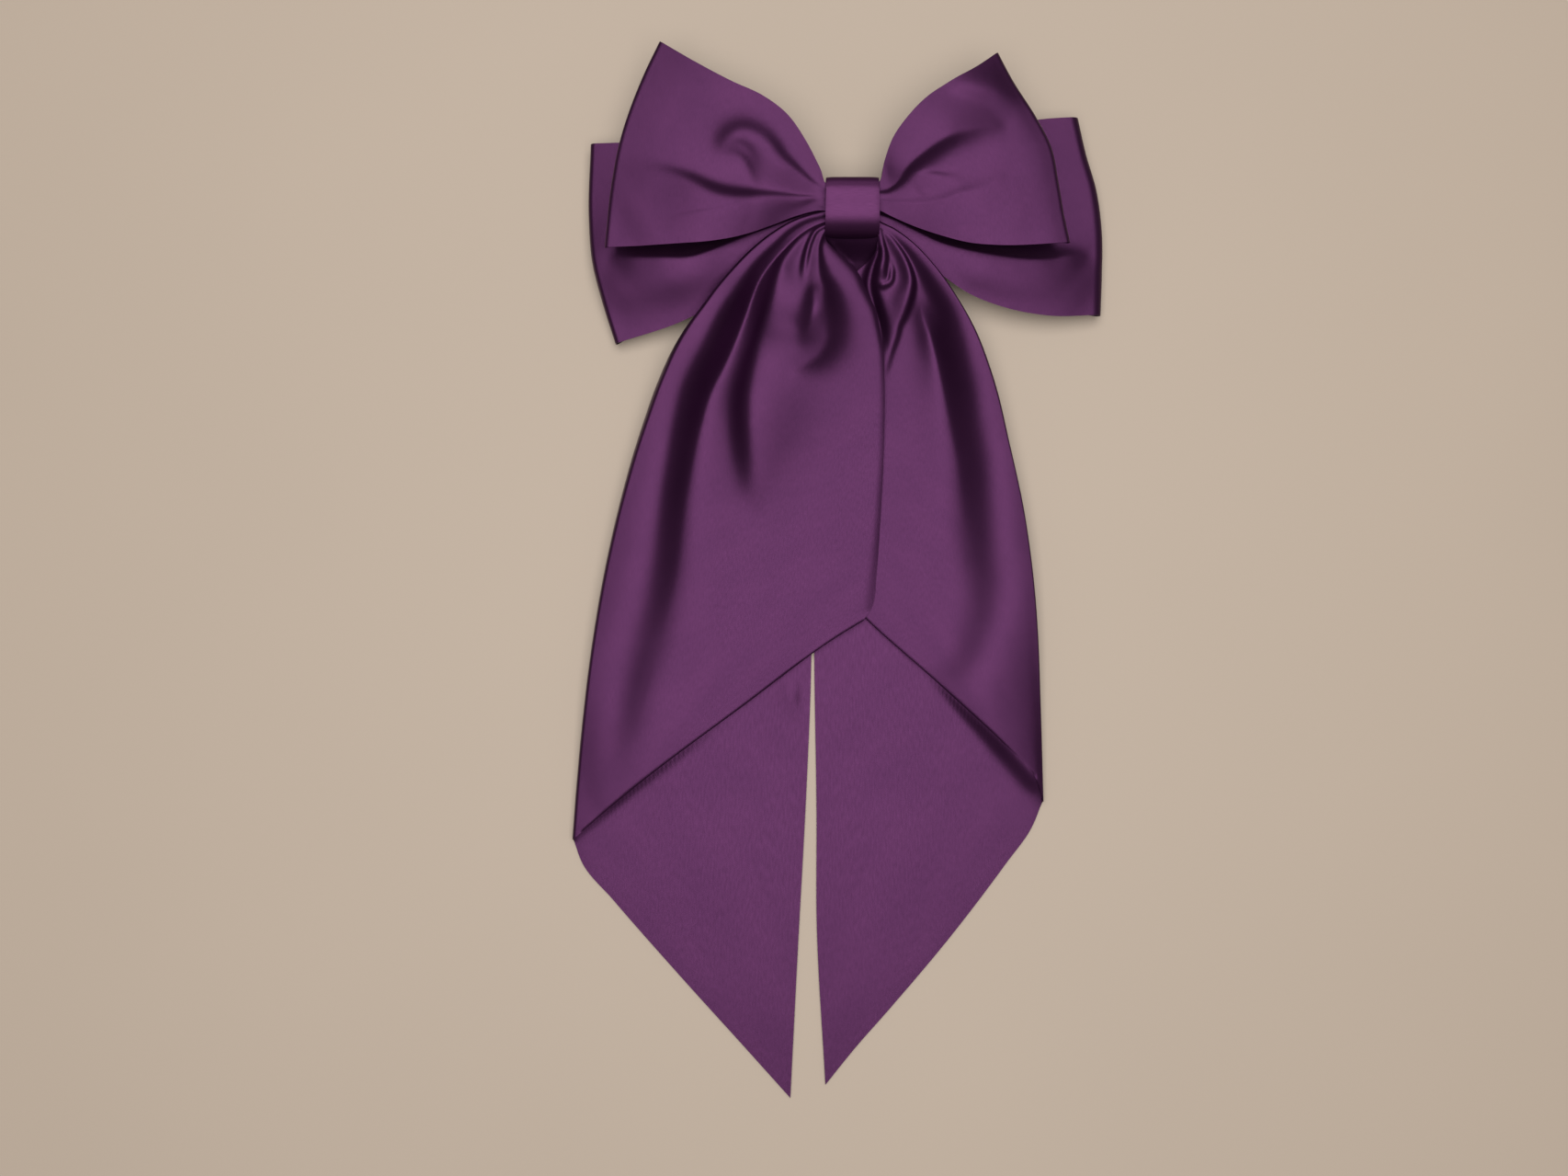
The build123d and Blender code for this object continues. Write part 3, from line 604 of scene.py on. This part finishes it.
leftTail = {
    "cloth": (170, 320),
    "area": 39800,  # of the flat cut, with its slanting end
    "split": 0.62,
    "foldReach": 3.0,
    "liftReach": 30,
    "fold": [(-2, 1.5), (-6, 0.6), (-9.6, -0.9), (-14.7, -2.3), (-20.6, -4.4), (-28.4, -8.8),
             (-36.8, -15.4), (-43.4, -22), (-48.8, -28.2), (-54.4, -35.6), (-59.2, -41.8),
             (-63.6, -48.6), (-69.8, -61.5), (-74.8, -75), (-79.1, -88.2), (-82.8, -101.5),
             (-89, -128.2), (-93.6, -154.9), (-97, -181.5), (-99.6, -208.2), (-101, -226.2)],
    "front": {
        "start": [(-2, 1.5), (-2, -7.8)],
        "edge": [(-2, -7.8), (-6, -8), (-9.4, -9.4), (-9.2, -11.6), (-7.2, -13.6), (-4, -16.4),
                 (-0.4, -19.6), (2.8, -23.4), (4.8, -27.5), (6.8, -31.5), (8.6, -35.4),
                 (9.6, -39.5), (10.6, -44.4), (11.5, -50.2), (12, -60), (12, -83.2),
                 (10.8, -109.6), (9.4, -130), (8.0, -141), (4.6, -146.6)],
        "cut": [(-101, -226.2), (-97, -222.6), (-84, -211.5), (-40, -178.2), (-3, -151.2),
                (4.6, -146.6)],
        "level": [(-5, 17.4), (3, 17.3), (12, 16.8), (20, 15.9), (32, 14.0), (45, 11.8),
                  (60, 9.2), (80, 6.4), (100, 4.8), (120, 3.9), (150, 3.4), (240, 3.0)],
        "under": [(-5, 16.2), (3, 16.0), (12, 14.6), (20, 13.4), (32, 10.8), (45, 8.4), (60, 6.2),
                  (80, 4.2), (100, 3.2), (120, 2.8), (150, 2.6), (240, 2.4)],
        "creases": [
            # Outer roll, high along the fold, falling steeply inwards
            {"path": [(-89, -217), (-86, -206), (-83, -195), (-80, -182), (-76.8, -168),
                      (-73.2, -154.8), (-69.6, -141.5), (-66.8, -128.2), (-65, -115),
                      (-63.4, -101.8), (-61.3, -88.6), (-58.9, -75.5), (-55.6, -62.6),
                      (-52.9, -56.7), (-49.6, -50.2), (-46.8, -43.7), (-43.8, -37.2),
                      (-40.2, -31), (-37.4, -25.6), (-34.2, -20.6), (-30.4, -16.4), (-26.8, -13),
                      (-22.1, -8.6), (-16.7, -5.4), (-9, -3)],
             "rise": [0, 1.8, 3.8, 6.0, 6.8, 7.3, 7.8, 7.8, 7.6, 7.4, 7.3, 7.2, 7.1, 6.8, 6.6,
                      6.2, 5.4, 4.0, 2.4, 1.8, 1.6, 1.5, 1.4, 1.2, 0.8],
             "left": [7.5, 7.5, 7.5, 8, 8.4, 9.0, 8.8, 7.8, 6.8, 5.8, 5.2, 5.0, 4.6, 4.2, 3.8,
                      3.3, 2.9, 2.3, 1.7, 1.3, 1.1, 1.0, 0.9, 0.8, 0.7],
             "far": [36, 40, 40, 42, 60, 90]},
            # Hollow between the roll and the lobe
            {"path": [(-9, -5), (-14.6, -7.4), (-20.4, -11.4), (-25.2, -15.8), (-29.6, -20.4),
                      (-32.8, -25), (-35.4, -30.7), (-37.8, -37.2), (-40.4, -43.7),
                      (-43.2, -50.2), (-46.4, -56.7), (-49.6, -62.6), (-54, -75.5), (-57, -88.6),
                      (-59.4, -101.8), (-61, -115), (-62.4, -128), (-65, -141.5), (-69, -155)],
             "rise": [-0.3, -0.6, -0.9, -1.3, -1.8, -2.5, -3.6, -4.2, -4.3, -4.2, -4.0, -3.8,
                      -3.0, -2.2, -1.6, -1.2, -0.8, -0.4, 0],
             "right": [1, 1.3, 1.6, 2, 2.2, 2.6, 3, 3.6, 4, 4.5, 5, 5, 5, 5, 5, 5, 5, 5, 5],
             "left": [1, 1.3, 1.6, 2, 2.5, 3, 4, 5.5, 7, 8, 9, 11, 14, 16, 18, 18, 18, 18, 18],
             "power": 1.6},
            # The lobe stands above that hollow
            {"path": [(-9, -5.4), (-13, -6.8), (-17, -9), (-20.4, -12), (-23, -15), (-25, -17.5),
                      (-27, -22), (-28.6, -26.7), (-30, -31.6), (-31.6, -36.5), (-33.2, -41.4),
                      (-34.8, -46.3), (-36.4, -51.3), (-37.8, -56.2), (-39.8, -66), (-40, -76),
                      (-39.1, -86), (-37.8, -95.7), (-36, -108)],
             "rise": [0.6, 0.8, 1.0, 1.3, 1.6, 2.0, 2.6, 3.0, 3.0, 2.6, 2.2, 2.2, 2.8, 3.6, 4.6,
                      4.8, 4.0, 2.6, 0],
             "left": [0.7, 0.7, 0.8, 0.9, 1.0, 1.2, 1.4, 1.6, 1.6, 1.5, 1.4, 1.5, 1.9, 2.3, 2.8,
                      3.0, 3.6, 4.5, 6],
             "far": [1.4, 2, 2.6, 3.2, 4, 5, 7, 10, 13, 16, 19, 22, 25, 27, 27, 24, 19, 14, 10]},
            # Right side of the lobe's ridge: sharp at the knot, opening into a broad dimple
            {"path": [(-22, -57.5), (-16.7, -55), (-11.4, -51.4), (-8.5, -46.4), (-8.1, -41),
                      (-9, -35.2), (-10, -29.3), (-11.4, -23.4), (-11.8, -17.6), (-11.6, -13.5),
                      (-10.4, -10), (-9, -7.4)],
             "rise": [0, 1.4, 2.8, 3.9, 4.4, 4.8, 4.2, 3.2, 1.8, 1.3, 1.0, 0.6],
             "left": [5, 5.5, 7, 8.5, 8.5, 7.5, 5.5, 3.8, 1.8, 1.2, 1.0, 0.8],
             "far": [14, 16, 18, 20, 20, 18, 14, 9, 5, 3.5, 2.4, 1.6], "crisp": True},
            # Left dimple
            {"path": [(-13.7, -26.5), (-13.8, -30), (-13.9, -35), (-14.3, -38.3), (-15, -41.6),
                      (-16.4, -44.8), (-18.8, -48)],
             "rise": [0, 1.6, 2.8, 2.7, 1.8, 1.0, 0], "left": [2, 3, 4.4, 4.6, 4.6, 4.4, 4],
             "far": 7, "crisp": True},
            # Fine fold beside the sharp one
            {"path": [(-9, -6.4), (-12.6, -8.6), (-14.9, -12.6), (-16.2, -17), (-17, -22),
                      (-17.4, -26)],
             "rise": [0.4, 0.8, 1.1, 1.2, 0.7, 0], "left": [0.7, 0.8, 1.0, 1.1, 1.2, 1.2],
             "right": [0.7, 0.8, 1.0, 1.1, 1.2, 1.2]},
            # Inner edge, curled down
            {"path": [(-9.2, -11.6), (-7.2, -13.6), (-4, -16.4), (-0.4, -19.6), (2.8, -23.4),
                      (4.8, -27.5), (6.8, -31.5), (8.6, -35.4), (9.6, -39.5), (10.6, -44.4),
                      (11.5, -50.2), (12, -60), (12, -83.2), (10.8, -109.6), (9.4, -130),
                      (8.0, -141)],
             "rise": [-1.0, -1.8, -2.6, -3.2, -3.4, -3.2, -3.0, -2.6, -2.2, -1.8, -1.4, -1.0,
                      -0.9, -1.3, -2.2, -2.0],
             "left": [1.2, 1.4, 1.7, 2.0, 2.0, 1.9, 1.7, 1.5, 1.3, 1.1, 1.0, 0.9, 0.8, 1.2, 2.0,
                      1.9], "far": 60},
            # Cut edge, turned down a little
            {"path": [(4.6, -146.6), (-3, -151.2), (-40, -178.2), (-84, -211.5), (-97, -222.6)],
             "rise": -0.9, "left": 0.5, "far": 60},
        ],
        "cutLift": [(0, 1.2), (0.12, 1.8), (0.3, 1.2), (0.5, 0.7), (1, 0.5)],
    },
    "back": {
        "start": [(-2, 1.5), (-2, -6.5)],
        "edge": [(-2, -6.5), (-6, -7), (-9.8, -9), (-11, -14), (-12.6, -25), (-14, -45),
                 (-14.2, -80), (-14.2, -120), (-14.2, -163), (-16, -210), (-18.8, -262),
                 (-21.8, -320.8)],
        "cut": [(-101, -226.2), (-97.8, -235), (-86.4, -248.6), (-63, -275.2), (-38.9, -301.8),
                (-21.8, -320.8)],
        "level": [(-5, 15.7), (3, 15.4), (12, 13.8), (20, 12.0), (32, 9.0), (42, 6.4), (50, 4.4),
                  (58, 2.8), (70, 1.3), (90, 0.5), (110, 0.4), (330, 0.4)],
        "creases": [
            # Turns up into the fold under the cut edge
            {"path": [(-99.6, -225.6), (-84.6, -212.7), (-62, -195.5), (-40.4, -178.9)],
             "rise": [0.8, 1.7, 1.2, 0], "left": [1.2, 1.2, 0.8, 0.5], "far": 14},
            # Soft dent beside the inner edge
            {"path": [(-20.5, -165), (-21, -174), (-21.5, -183)],
             "rise": [0, 0.9, 0], "left": 2.2, "right": 5},
        ],
    },
}

rightTail = {
    "cloth": (172, 316),
    "area": 39000,
    "split": 0.58,
    "foldReach": 3.0,
    "liftReach": 40,
    "fold": [(2, 1.5), (6, -1.4), (9.2, -4.2), (15.2, -7.3), (21.5, -11.9), (27.7, -18),
             (33.6, -25.2), (38.9, -33), (45.6, -45), (51.6, -60.7), (57.6, -85), (62.4, -107),
             (65.8, -130), (67.8, -152), (69, -178), (70.2, -212.6)],
    "front": {
        "start": [(2, 1.5), (2, -7.8)],
        "edge": [(2, -7.8), (6, -8), (9.2, -9.4), (9.2, -12.4), (8.0, -15.8), (5.4, -18.8),
                 (2.4, -21.4), (-1, -25), (-4, -33), (-8, -46), (-12, -62), (-17, -85),
                 (-20, -118)],
        "cut": [(70.2, -212.6), (66.5, -202.4), (54, -189.6), (41, -177.6), (28, -165.8),
                (6.3, -146.4), (-20, -118)],
        "level": [(-5, 17.0), (3, 16.7), (12, 15.2), (20, 13.4), (32, 10.6), (45, 8.0), (60, 5.6),
                  (80, 3.6), (100, 2.7), (120, 2.3), (150, 2.1), (240, 2.0)],
        "under": [(-5, 16.0), (3, 15.8), (12, 14.0), (20, 11.4), (32, 7.2), (42, 4.6), (50, 3.0),
                  (58, 2.2), (70, 1.5), (90, 1.2), (330, 1.2)],
        "creases": [
            # Outer roll, high along the fold, falling steeply inwards
            {"path": [(9, -6.8), (13.2, -9), (17.2, -12.2), (20.8, -16), (24, -20.4), (27, -25),
                      (30.6, -31), (33.4, -37.2), (35, -43.7), (36.4, -49.6), (37.8, -56),
                      (39.4, -62.6), (41.4, -75.5), (44, -88.6), (45, -101.8), (46, -112),
                      (47, -122), (48.6, -135), (47, -148), (41.5, -161), (30, -168), (18, -171)],
             "rise": [0.5, 0.9, 1.4, 2.2, 3.2, 4.4, 5.6, 7.2, 8.4, 8.9, 9.1, 9.3, 9.4, 9.5, 9.6,
                      9.5, 9.2, 8.4, 7.0, 4.8, 2.2, 0],
             "left": [0.7, 0.8, 1.0, 1.4, 1.9, 2.4, 3.0, 3.8, 4.8, 5.4, 5.8, 6.2, 7.0, 7.8, 8.4,
                      8.8, 9.2, 9.4, 9.0, 8, 7, 6], "far": [90, 60, 42, 40, 36, 30]},
            # Hollow between the pleat and the roll
            {"path": [(24.6, -30.7), (26, -37.2), (28.6, -43.7), (30.4, -49.6), (32, -56),
                      (33.4, -62.6), (36, -75.5), (38.4, -88.6), (39.8, -101.8), (41, -115)],
             "rise": [0, -1.6, -2.6, -2.6, -2.2, -1.8, -1.2, -0.8, -0.4, 0],
             "left": [2.6, 3.4, 3.8, 4, 4, 4, 4, 4, 4, 4],
             "right": [2.4, 3.4, 4.4, 5, 6, 7, 8, 10, 12, 12], "power": 1.6},
            # Pleat that runs down from the knot, its steep side towards the roll
            {"path": [(12.5, -60), (13.8, -54), (15.2, -49), (16.8, -44.4), (17.8, -40.5),
                      (19.4, -37), (20.9, -33), (21.9, -29), (22.1, -25.3), (21.2, -21.5),
                      (19.4, -17.5), (16.8, -13.5), (13.6, -9.8), (9.8, -7)],
             "rise": [0, 0.8, 1.2, 1.3, 1.5, 2.1, 2.7, 2.9, 2.8, 2.5, 2.1, 1.6, 1.1, 0.5],
             "left": [0.8, 0.8, 0.8, 0.8, 0.8, 0.9, 1.0, 1.1, 1.1, 1.0, 0.9, 0.8, 0.7, 0.6],
             "far": [5, 5, 5, 4.5, 4.5, 5.5, 6.5, 5.5, 4, 3.2, 2.8, 2.5, 2.2, 1.8]},
            # Short hooked fold and the small one inside it
            {"path": [(9.6, -8.6), (10.6, -12.5), (11.2, -17), (10.7, -21.5), (10.6, -25)],
             "rise": [0.6, 1.2, 1.8, 1.9, 0.4], "left": [1.0, 1.1, 1.5, 1.9, 1.9],
             "right": [1.0, 1.1, 1.4, 1.7, 1.7], "power": 2.4},
            {"path": [(13.8, -18), (14.3, -22), (13.4, -25.4), (11.2, -26.6)],
             "rise": [0, 0.9, 1.2, 0.6], "left": 1.0, "right": 1.0},
            # Hollow under the left tail's edge
            {"path": [(9.4, -15), (7.4, -20), (6.4, -25.5), (8, -32), (10.4, -40), (11.8, -52)],
             "rise": [-0.8, -2.4, -3.2, -3.2, -2.2, 0], "left": [1, 1.5, 2, 2.2, 2.2, 2],
             "right": [1, 1.4, 1.8, 2.2, 2.6, 2.6]},
            # Cut edge, turned down a little
            {"path": [(66.5, -202.4), (54, -189.6), (41, -177.6), (28, -165.8), (6.3, -146.4),
                      (-20, -118)],
             "rise": -0.9, "left": 0.5, "far": 60},
        ],
        "cutLift": [(0, 1.4), (0.1, 2.8), (0.25, 3.6), (0.42, 2.2), (0.6, 0.8), (1, 0.5)],
    },
    "back": {
        "start": [(2, 1.5), (2, -6.5)],
        "edge": [(2, -6.5), (6, -7), (9.6, -9), (9, -14), (4, -24), (-3, -45), (-9.6, -80),
                 (-12.6, -130), (-12.2, -221.8), (-12.2, -254.8), (-9, -316)],
        "cut": [(70.2, -212.6), (66.4, -222), (57, -235.2), (36.6, -262), (13.8, -289),
                (2, -302.4), (-9, -316)],
        "level": [(-5, 15.7), (3, 15.4), (12, 13.6), (20, 10.6), (32, 6.4), (42, 3.6), (50, 1.8),
                  (58, 0.9), (70, 0.5), (90, 0.4), (330, 0.4)],
        "creases": [
            # Turns up steeply into the fold under the lifted edge
            {"path": [(24, -162.8), (29.8, -168.2), (40.4, -178.8), (53.1, -191.5),
                      (64.6, -204.1), (70, -210)],
             "rise": [0, 0.7, 2.4, 4.4, 4.8, 2.6], "left": [0.5, 0.6, 1.6, 3.0, 3.8, 3.6],
             "far": 14},
        ],
    },
}

tailDetail = ((172, 285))
for name, tail in (("leftTail", leftTail), ("rightTail", rightTail)):
    piece = clothSheet(name, tailDetail, tailPlace(tail), tail["cloth"], satin, ribbonThickness)
    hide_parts("tail_ribbon")


# The piece between the tails, under the knot
middleShape = {
    "cloth": (24, 24),
    "width": 20,
    "narrower": 0.14,  # share by which its top and its lower edge are narrower
    "swellRate": 1.4,
    "rimRise": 0.96,  # its sides lie this much higher than its middle
    "edgeTop": -6.5,
    "edgeLow": -27,
    "level": [(6.5, 16.4), (9, 15.4), (11, 13.4), (13, 11.2), (15, 9.2), (17, 7.6), (20, 6.2),
              (27, 5.2)],
    "creases": [
        {"path": [(-7, -12.5), (-4, -15.6), (-0.6, -18.4)],
         "rise": [0.3, 1.2, 0.6], "left": 1.1, "right": 1.1, "power": 1.8},
    ],
}


def middlePlace(u, v):
    y = middleShape["edgeTop"] + (middleShape["edgeLow"] - middleShape["edgeTop"]) * v
    swell = np.sin(np.pi * np.clip(v * middleShape["swellRate"], 0, 1))
    x = (u - 0.5) * middleShape["width"] * (1 - middleShape["narrower"] * (1 - swell))
    rim = middleShape["rimRise"] * (2 * np.abs(u - 0.5)) ** 2
    return x, y, levelAt(middleShape["level"], -y) + rim + creaseField(x, y, middleShape["creases"])


middlePiece = clothSheet(
    "tailMiddle", (60, 60), middlePlace, middleShape["cloth"], satin, ribbonThickness)
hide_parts("tail_ribbon")
print("tails ready")


# The knot is a band of cloth round the gathered necks
bandShape = {
    "cloth": (72, 19),
    "thickness": 0.6,
    "halfWidth": 9.4,
    "flare": 0.02,  # wider below by this share
    "edgeSink": 0.25,
    "middle": (0, 15.8),
    "section": [(-3.2, 9.0), (0, 9.7), (3.6, 9.8), (6.6, 10.6), (9.4, 12.4), (10.1, 15),
                (10.1, 18.4), (9.3, 20.9), (6.8, 21.9), (2, 22.1), (-1.4, 22.0), (-4.2, 21.4),
                (-6.7, 20.1), (-8.6, 18.1), (-9.8, 15.8), (-10.2, 13.8), (-9.2, 11.8),
                (-6.4, 10.4), (-3.6, 9.8), (0, 9.4), (3.2, 8.8)],
}


def bandPlace(u, v):
    around = curveAt(bandShape["section"], u)
    across = 2 * v - 1
    inward = np.array(bandShape["middle"]) - around
    inward /= np.linalg.norm(inward, axis=1)[:, None]
    # The edges sink a little, as pressed cloth does
    sink = bandShape["edgeSink"] * np.abs(across) ** 8
    flare = 1 + bandShape["flare"] * np.clip(-around[:, 0] / 10, -1, 1)
    y, z = (around + sink[:, None] * inward).T
    return across * bandShape["halfWidth"] * flare, y, z


# The band is built in the satin painted lighter, a painted highlight
bandPiece = clothSheet(
    "knotBand", (160, 40), bandPlace, bandShape["cloth"], bandLitSatin, bandShape["thickness"])
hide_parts("knot_band")
print("knot ready")


def addGrainGroup():
    # A slow mottling between two colours and a fine grain, both running through the solid
    group, given, result = nodeGroup(
        "mottledGrain",
        {"Position": "Vector", "Shade": "Color", "Colour": "Color", "Mottle Scale": "Float",
         "Grain Scale": "Float", "Grain Stretch": "Vector"},
        {"Colour": "Color", "Grain": "Float"},
    )
    link = group.links.new
    mottle = node(group, "ShaderNodeTexNoise")
    tint = node(group, "ShaderNodeMix", data_type="RGBA")
    link(given["Position"], mottle.inputs["Vector"])
    link(given["Mottle Scale"], mottle.inputs["Scale"])
    link(mottle.outputs["Fac"], tint.inputs["Factor"])
    link(given["Shade"], tint.inputs["A"])
    link(given["Colour"], tint.inputs["B"])
    link(tint.outputs["Result"], result["Colour"])
    stretch = node(group, "ShaderNodeMapping")
    grain = node(group, "ShaderNodeTexNoise", {"Detail": 5})
    link(given["Position"], stretch.inputs["Vector"])
    link(given["Grain Stretch"], stretch.inputs["Scale"])
    link(stretch.outputs[0], grain.inputs["Vector"])
    link(given["Grain Scale"], grain.inputs["Scale"])
    link(grain.outputs["Fac"], result["Grain"])
    return group


grainGroup = addGrainGroup()


def makeMottled(name, look):
    # Where a look has a grain, its gloss and relief follow it
    material, tree, shader = newMaterial(name)
    link = tree.links.new
    coords = node(tree, "ShaderNodeTexCoord")
    surface = node(
        tree, "ShaderNodeGroup",
        {"Shade": look["shade"], "Colour": look["colour"], "Mottle Scale": look["mottle"]},
        node_tree=grainGroup,
    )
    link(coords.outputs["Object"], surface.inputs["Position"])
    link(surface.outputs["Colour"], shader["Base Color"])
    shader["Metallic"].default_value = look["metallic"]
    if "grain" in look:
        surface.inputs["Grain Scale"].default_value = look["grain"]
        surface.inputs["Grain Stretch"].default_value = look["stretch"]
        smooth, rough = look["roughness"]
        gloss = node(tree, "ShaderNodeMapRange", {"To Min": smooth, "To Max": rough})
        bump = node(tree, "ShaderNodeBump", {"Strength": look["bump"], "Distance": look["relief"]})
        link(surface.outputs["Grain"], gloss.inputs["Value"])
        link(gloss.outputs["Result"], shader["Roughness"])
        link(surface.outputs["Grain"], bump.inputs["Height"])
        link(bump.outputs["Normal"], shader["Normal"])
    else:
        shader["Roughness"].default_value = look["roughness"]
    return material


plated = makeMottled("nickelPlate", {
    "colour": (0.72, 0.70, 0.66, 1), "shade": (0.60, 0.58, 0.55, 1), "mottle": 84,
    "grain": 700, "stretch": (1, 1, 1), "bump": 0.15, "relief": 0.00002,
    "roughness": (0.14, 0.34), "metallic": 1})
spring = makeMottled("springSteel", {
    "colour": (0.52, 0.52, 0.51, 1), "shade": (0.42, 0.42, 0.42, 1), "mottle": 312,
    "grain": 2600, "stretch": (0.06, 1, 1), "bump": 0.25, "relief": 0.00002,  # brushed along x
    "roughness": (0.22, 0.46), "metallic": 1})
threadStuff = makeMottled("sewingThread", {
    "colour": (0.050, 0.016, 0.052, 1), "shade": (0.035, 0.011, 0.038, 1), "mottle": 600,
    "grain": 5000, "stretch": (1, 1, 1), "bump": 0.6, "relief": 0.00008,
    "roughness": (0.63, 0.87), "metallic": 0})
felt = makeMottled("purpleFelt", {
    "colour": (0.040, 0.014, 0.044, 1), "shade": (0.026, 0.009, 0.030, 1), "mottle": 288,
    "grain": 2400, "stretch": (1, 1, 1), "bump": 0.9, "relief": 0.00020,
    "roughness": (0.86, 0.98), "metallic": 0})
for metal, nodeNames in (
    (plated, ("clip_plate", "hinge_pin", "clip_catch", "catch_rivet", "clasp_lever")),
    (spring, ("tension_bar", "catch_prong_front", "catch_prong_rear")),
):
    for nodeName in nodeNames:
        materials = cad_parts[nodeName].data.materials
        materials.clear()
        materials.append(metal)


# The thread is wound flat round the gathered necks
threadShape = {
    "turns": 5,
    "pitch": 0.45,
    "radius": 0.24,
    "halfHeight": 8.2,
    "halfDepth": 3.8,
    "middle": 16.4,  # its height
    "squareness": 0.7,  # 1 winds a plain oval
    "around": 8,  # faces round the thread
    "along": 480,
    "weld": 0.00002,  # metres
}


def threadPlace(u, w):
    turn = u * threadShape["turns"] * 2 * np.pi
    across, up = np.cos(turn), np.sin(turn)
    y = threadShape["halfHeight"] * np.sign(across) * np.abs(across) ** threadShape["squareness"]
    z = threadShape["halfDepth"] * np.sign(up) * np.abs(up) ** threadShape["squareness"]
    x = (u - 0.5) * threadShape["turns"] * threadShape["pitch"]
    out = np.array([y / threadShape["halfHeight"] ** 2, z / threadShape["halfDepth"] ** 2])
    out /= np.linalg.norm(out, axis=0)
    circle = w * 2 * np.pi
    y, z = np.array([y, z]) + out * threadShape["radius"] * np.cos(circle)
    return x + threadShape["radius"] * np.sin(circle), y, z + threadShape["middle"]


# A grid rolled into a closed tube
bm = bmesh.new()
bmesh.ops.create_grid(
    bm, x_segments=threadShape["along"], y_segments=threadShape["around"], size=0.5)
u, w = np.array([vert.co.xy for vert in bm.verts]).T + 0.5
for vert, spot in zip(bm.verts, np.stack(threadPlace(u, w), axis=1) * mm):
    vert.co = spot
bmesh.ops.remove_doubles(bm, verts=bm.verts, dist=threadShape["weld"])
bmesh.ops.holes_fill(bm, edges=bm.edges, sides=threadShape["around"] + 1)
bmesh.ops.recalc_face_normals(bm, faces=bm.faces)
threadMesh = bpy.data.meshes.new("neckThread")
bm.to_mesh(threadMesh)
bm.free()
threadPiece = newPiece("neckThread", threadMesh, threadStuff)
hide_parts("gathering_thread")

padLow, padHigh = (Vector(c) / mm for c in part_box("clip_pad"))
padShape = {
    "size": (padHigh.x - padLow.x, padHigh.y - padLow.y, 0.7),
    "corner": 2.0,
    "rim": 0.18,
    "arch": 242.8,  # radius
    "cuts": np.linspace(-9, 9, 13),  # where the pad is cut across so that it can bend
}
bm = bmesh.new()
bmesh.ops.create_cube(bm, size=1)
bmesh.ops.scale(bm, vec=padShape["size"], verts=bm.verts)
upright = [e for e in bm.edges if abs(e.verts[0].co.z - e.verts[1].co.z) > 0.1]
bmesh.ops.bevel(bm, geom=upright, offset=padShape["corner"], affect="EDGES", segments=6,
                profile=0.5, material=-1)
for cut in padShape["cuts"]:
    bmesh.ops.bisect_plane(bm, geom=bm.verts[:] + bm.edges[:] + bm.faces[:],
                           plane_co=(cut, 0, 0), plane_no=(1, 0, 0))
rims = [e for e in bm.edges if len(e.link_faces) == 2 and e.calc_face_angle(0) > sharpAngle]
bmesh.ops.bevel(bm, geom=rims, offset=padShape["rim"], affect="EDGES", segments=3,
                profile=0.5, material=-1)
for vert in bm.verts:
    vert.co.z += padHigh.z - padShape["size"][2] / 2 - vert.co.x**2 / (2 * padShape["arch"])
    vert.co *= mm
padMesh = bpy.data.meshes.new("feltPad")
bm.to_mesh(padMesh)
bm.free()
padPiece = newPiece("feltPad", padMesh, felt)
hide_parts("clip_pad")
print("thread, pad and metal ready")


# A pale floor under a broad soft light, seen from straight above
room = {
    "floorLook": {
        "colour": (0.4223, 0.34814, 0.28119, 1), "shade": (0.3977, 0.32786, 0.26481, 1),
        "mottle": 6, "roughness": 0.55, "metallic": 0},
    "floorHalfSize": 2.5,  # metres
    "floorDrop": 0.0004,
    "lightColour": (1, 0.97, 0.94),
    "airStrength": 0.2,
    "boxSize": (1.4, 1.9),
    "boxPower": 29.5,
    "boxPlace": (-0.02, 0.03, 1.4),
    "lens": 35,
    "sensorWidth": 36,
    "cameraPlace": (-0.0241, -0.1347, 0.557),
}
bm = bmesh.new()
bmesh.ops.create_grid(bm, x_segments=4, y_segments=4, size=room["floorHalfSize"])
bmesh.ops.translate(bm, vec=(0, 0, -room["floorDrop"]), verts=bm.verts)
floorMesh = bpy.data.meshes.new("floor")
bm.to_mesh(floorMesh)
bm.free()
floor = bpy.data.objects.new("floor", floorMesh)
bpy.context.collection.objects.link(floor)
floorMesh.materials.append(makeMottled("paleFloor", room["floorLook"]))

world = bpy.data.worlds.new("room")
bpy.context.scene.world = world
world.use_nodes = True
air = world.node_tree.nodes["Background"].inputs
air["Color"].default_value = (*room["lightColour"], 1)
air["Strength"].default_value = room["airStrength"]

softbox = bpy.data.objects.new("softbox", bpy.data.lights.new("softbox", "AREA"))
softbox.data.shape = "RECTANGLE"
softbox.data.size, softbox.data.size_y = room["boxSize"]
softbox.data.energy = room["boxPower"]
softbox.data.color = room["lightColour"]
softbox.location = room["boxPlace"]
bpy.context.collection.objects.link(softbox)

camera = bpy.data.objects.new("camera", bpy.data.cameras.new("camera"))
camera.data.lens = room["lens"]
camera.data.sensor_width = room["sensorWidth"]
camera.location = room["cameraPlace"]
bpy.context.collection.objects.link(camera)
bpy.context.scene.camera = camera
bpy.context.scene.view_settings.view_transform = "Standard"
print("floor, light and camera ready")
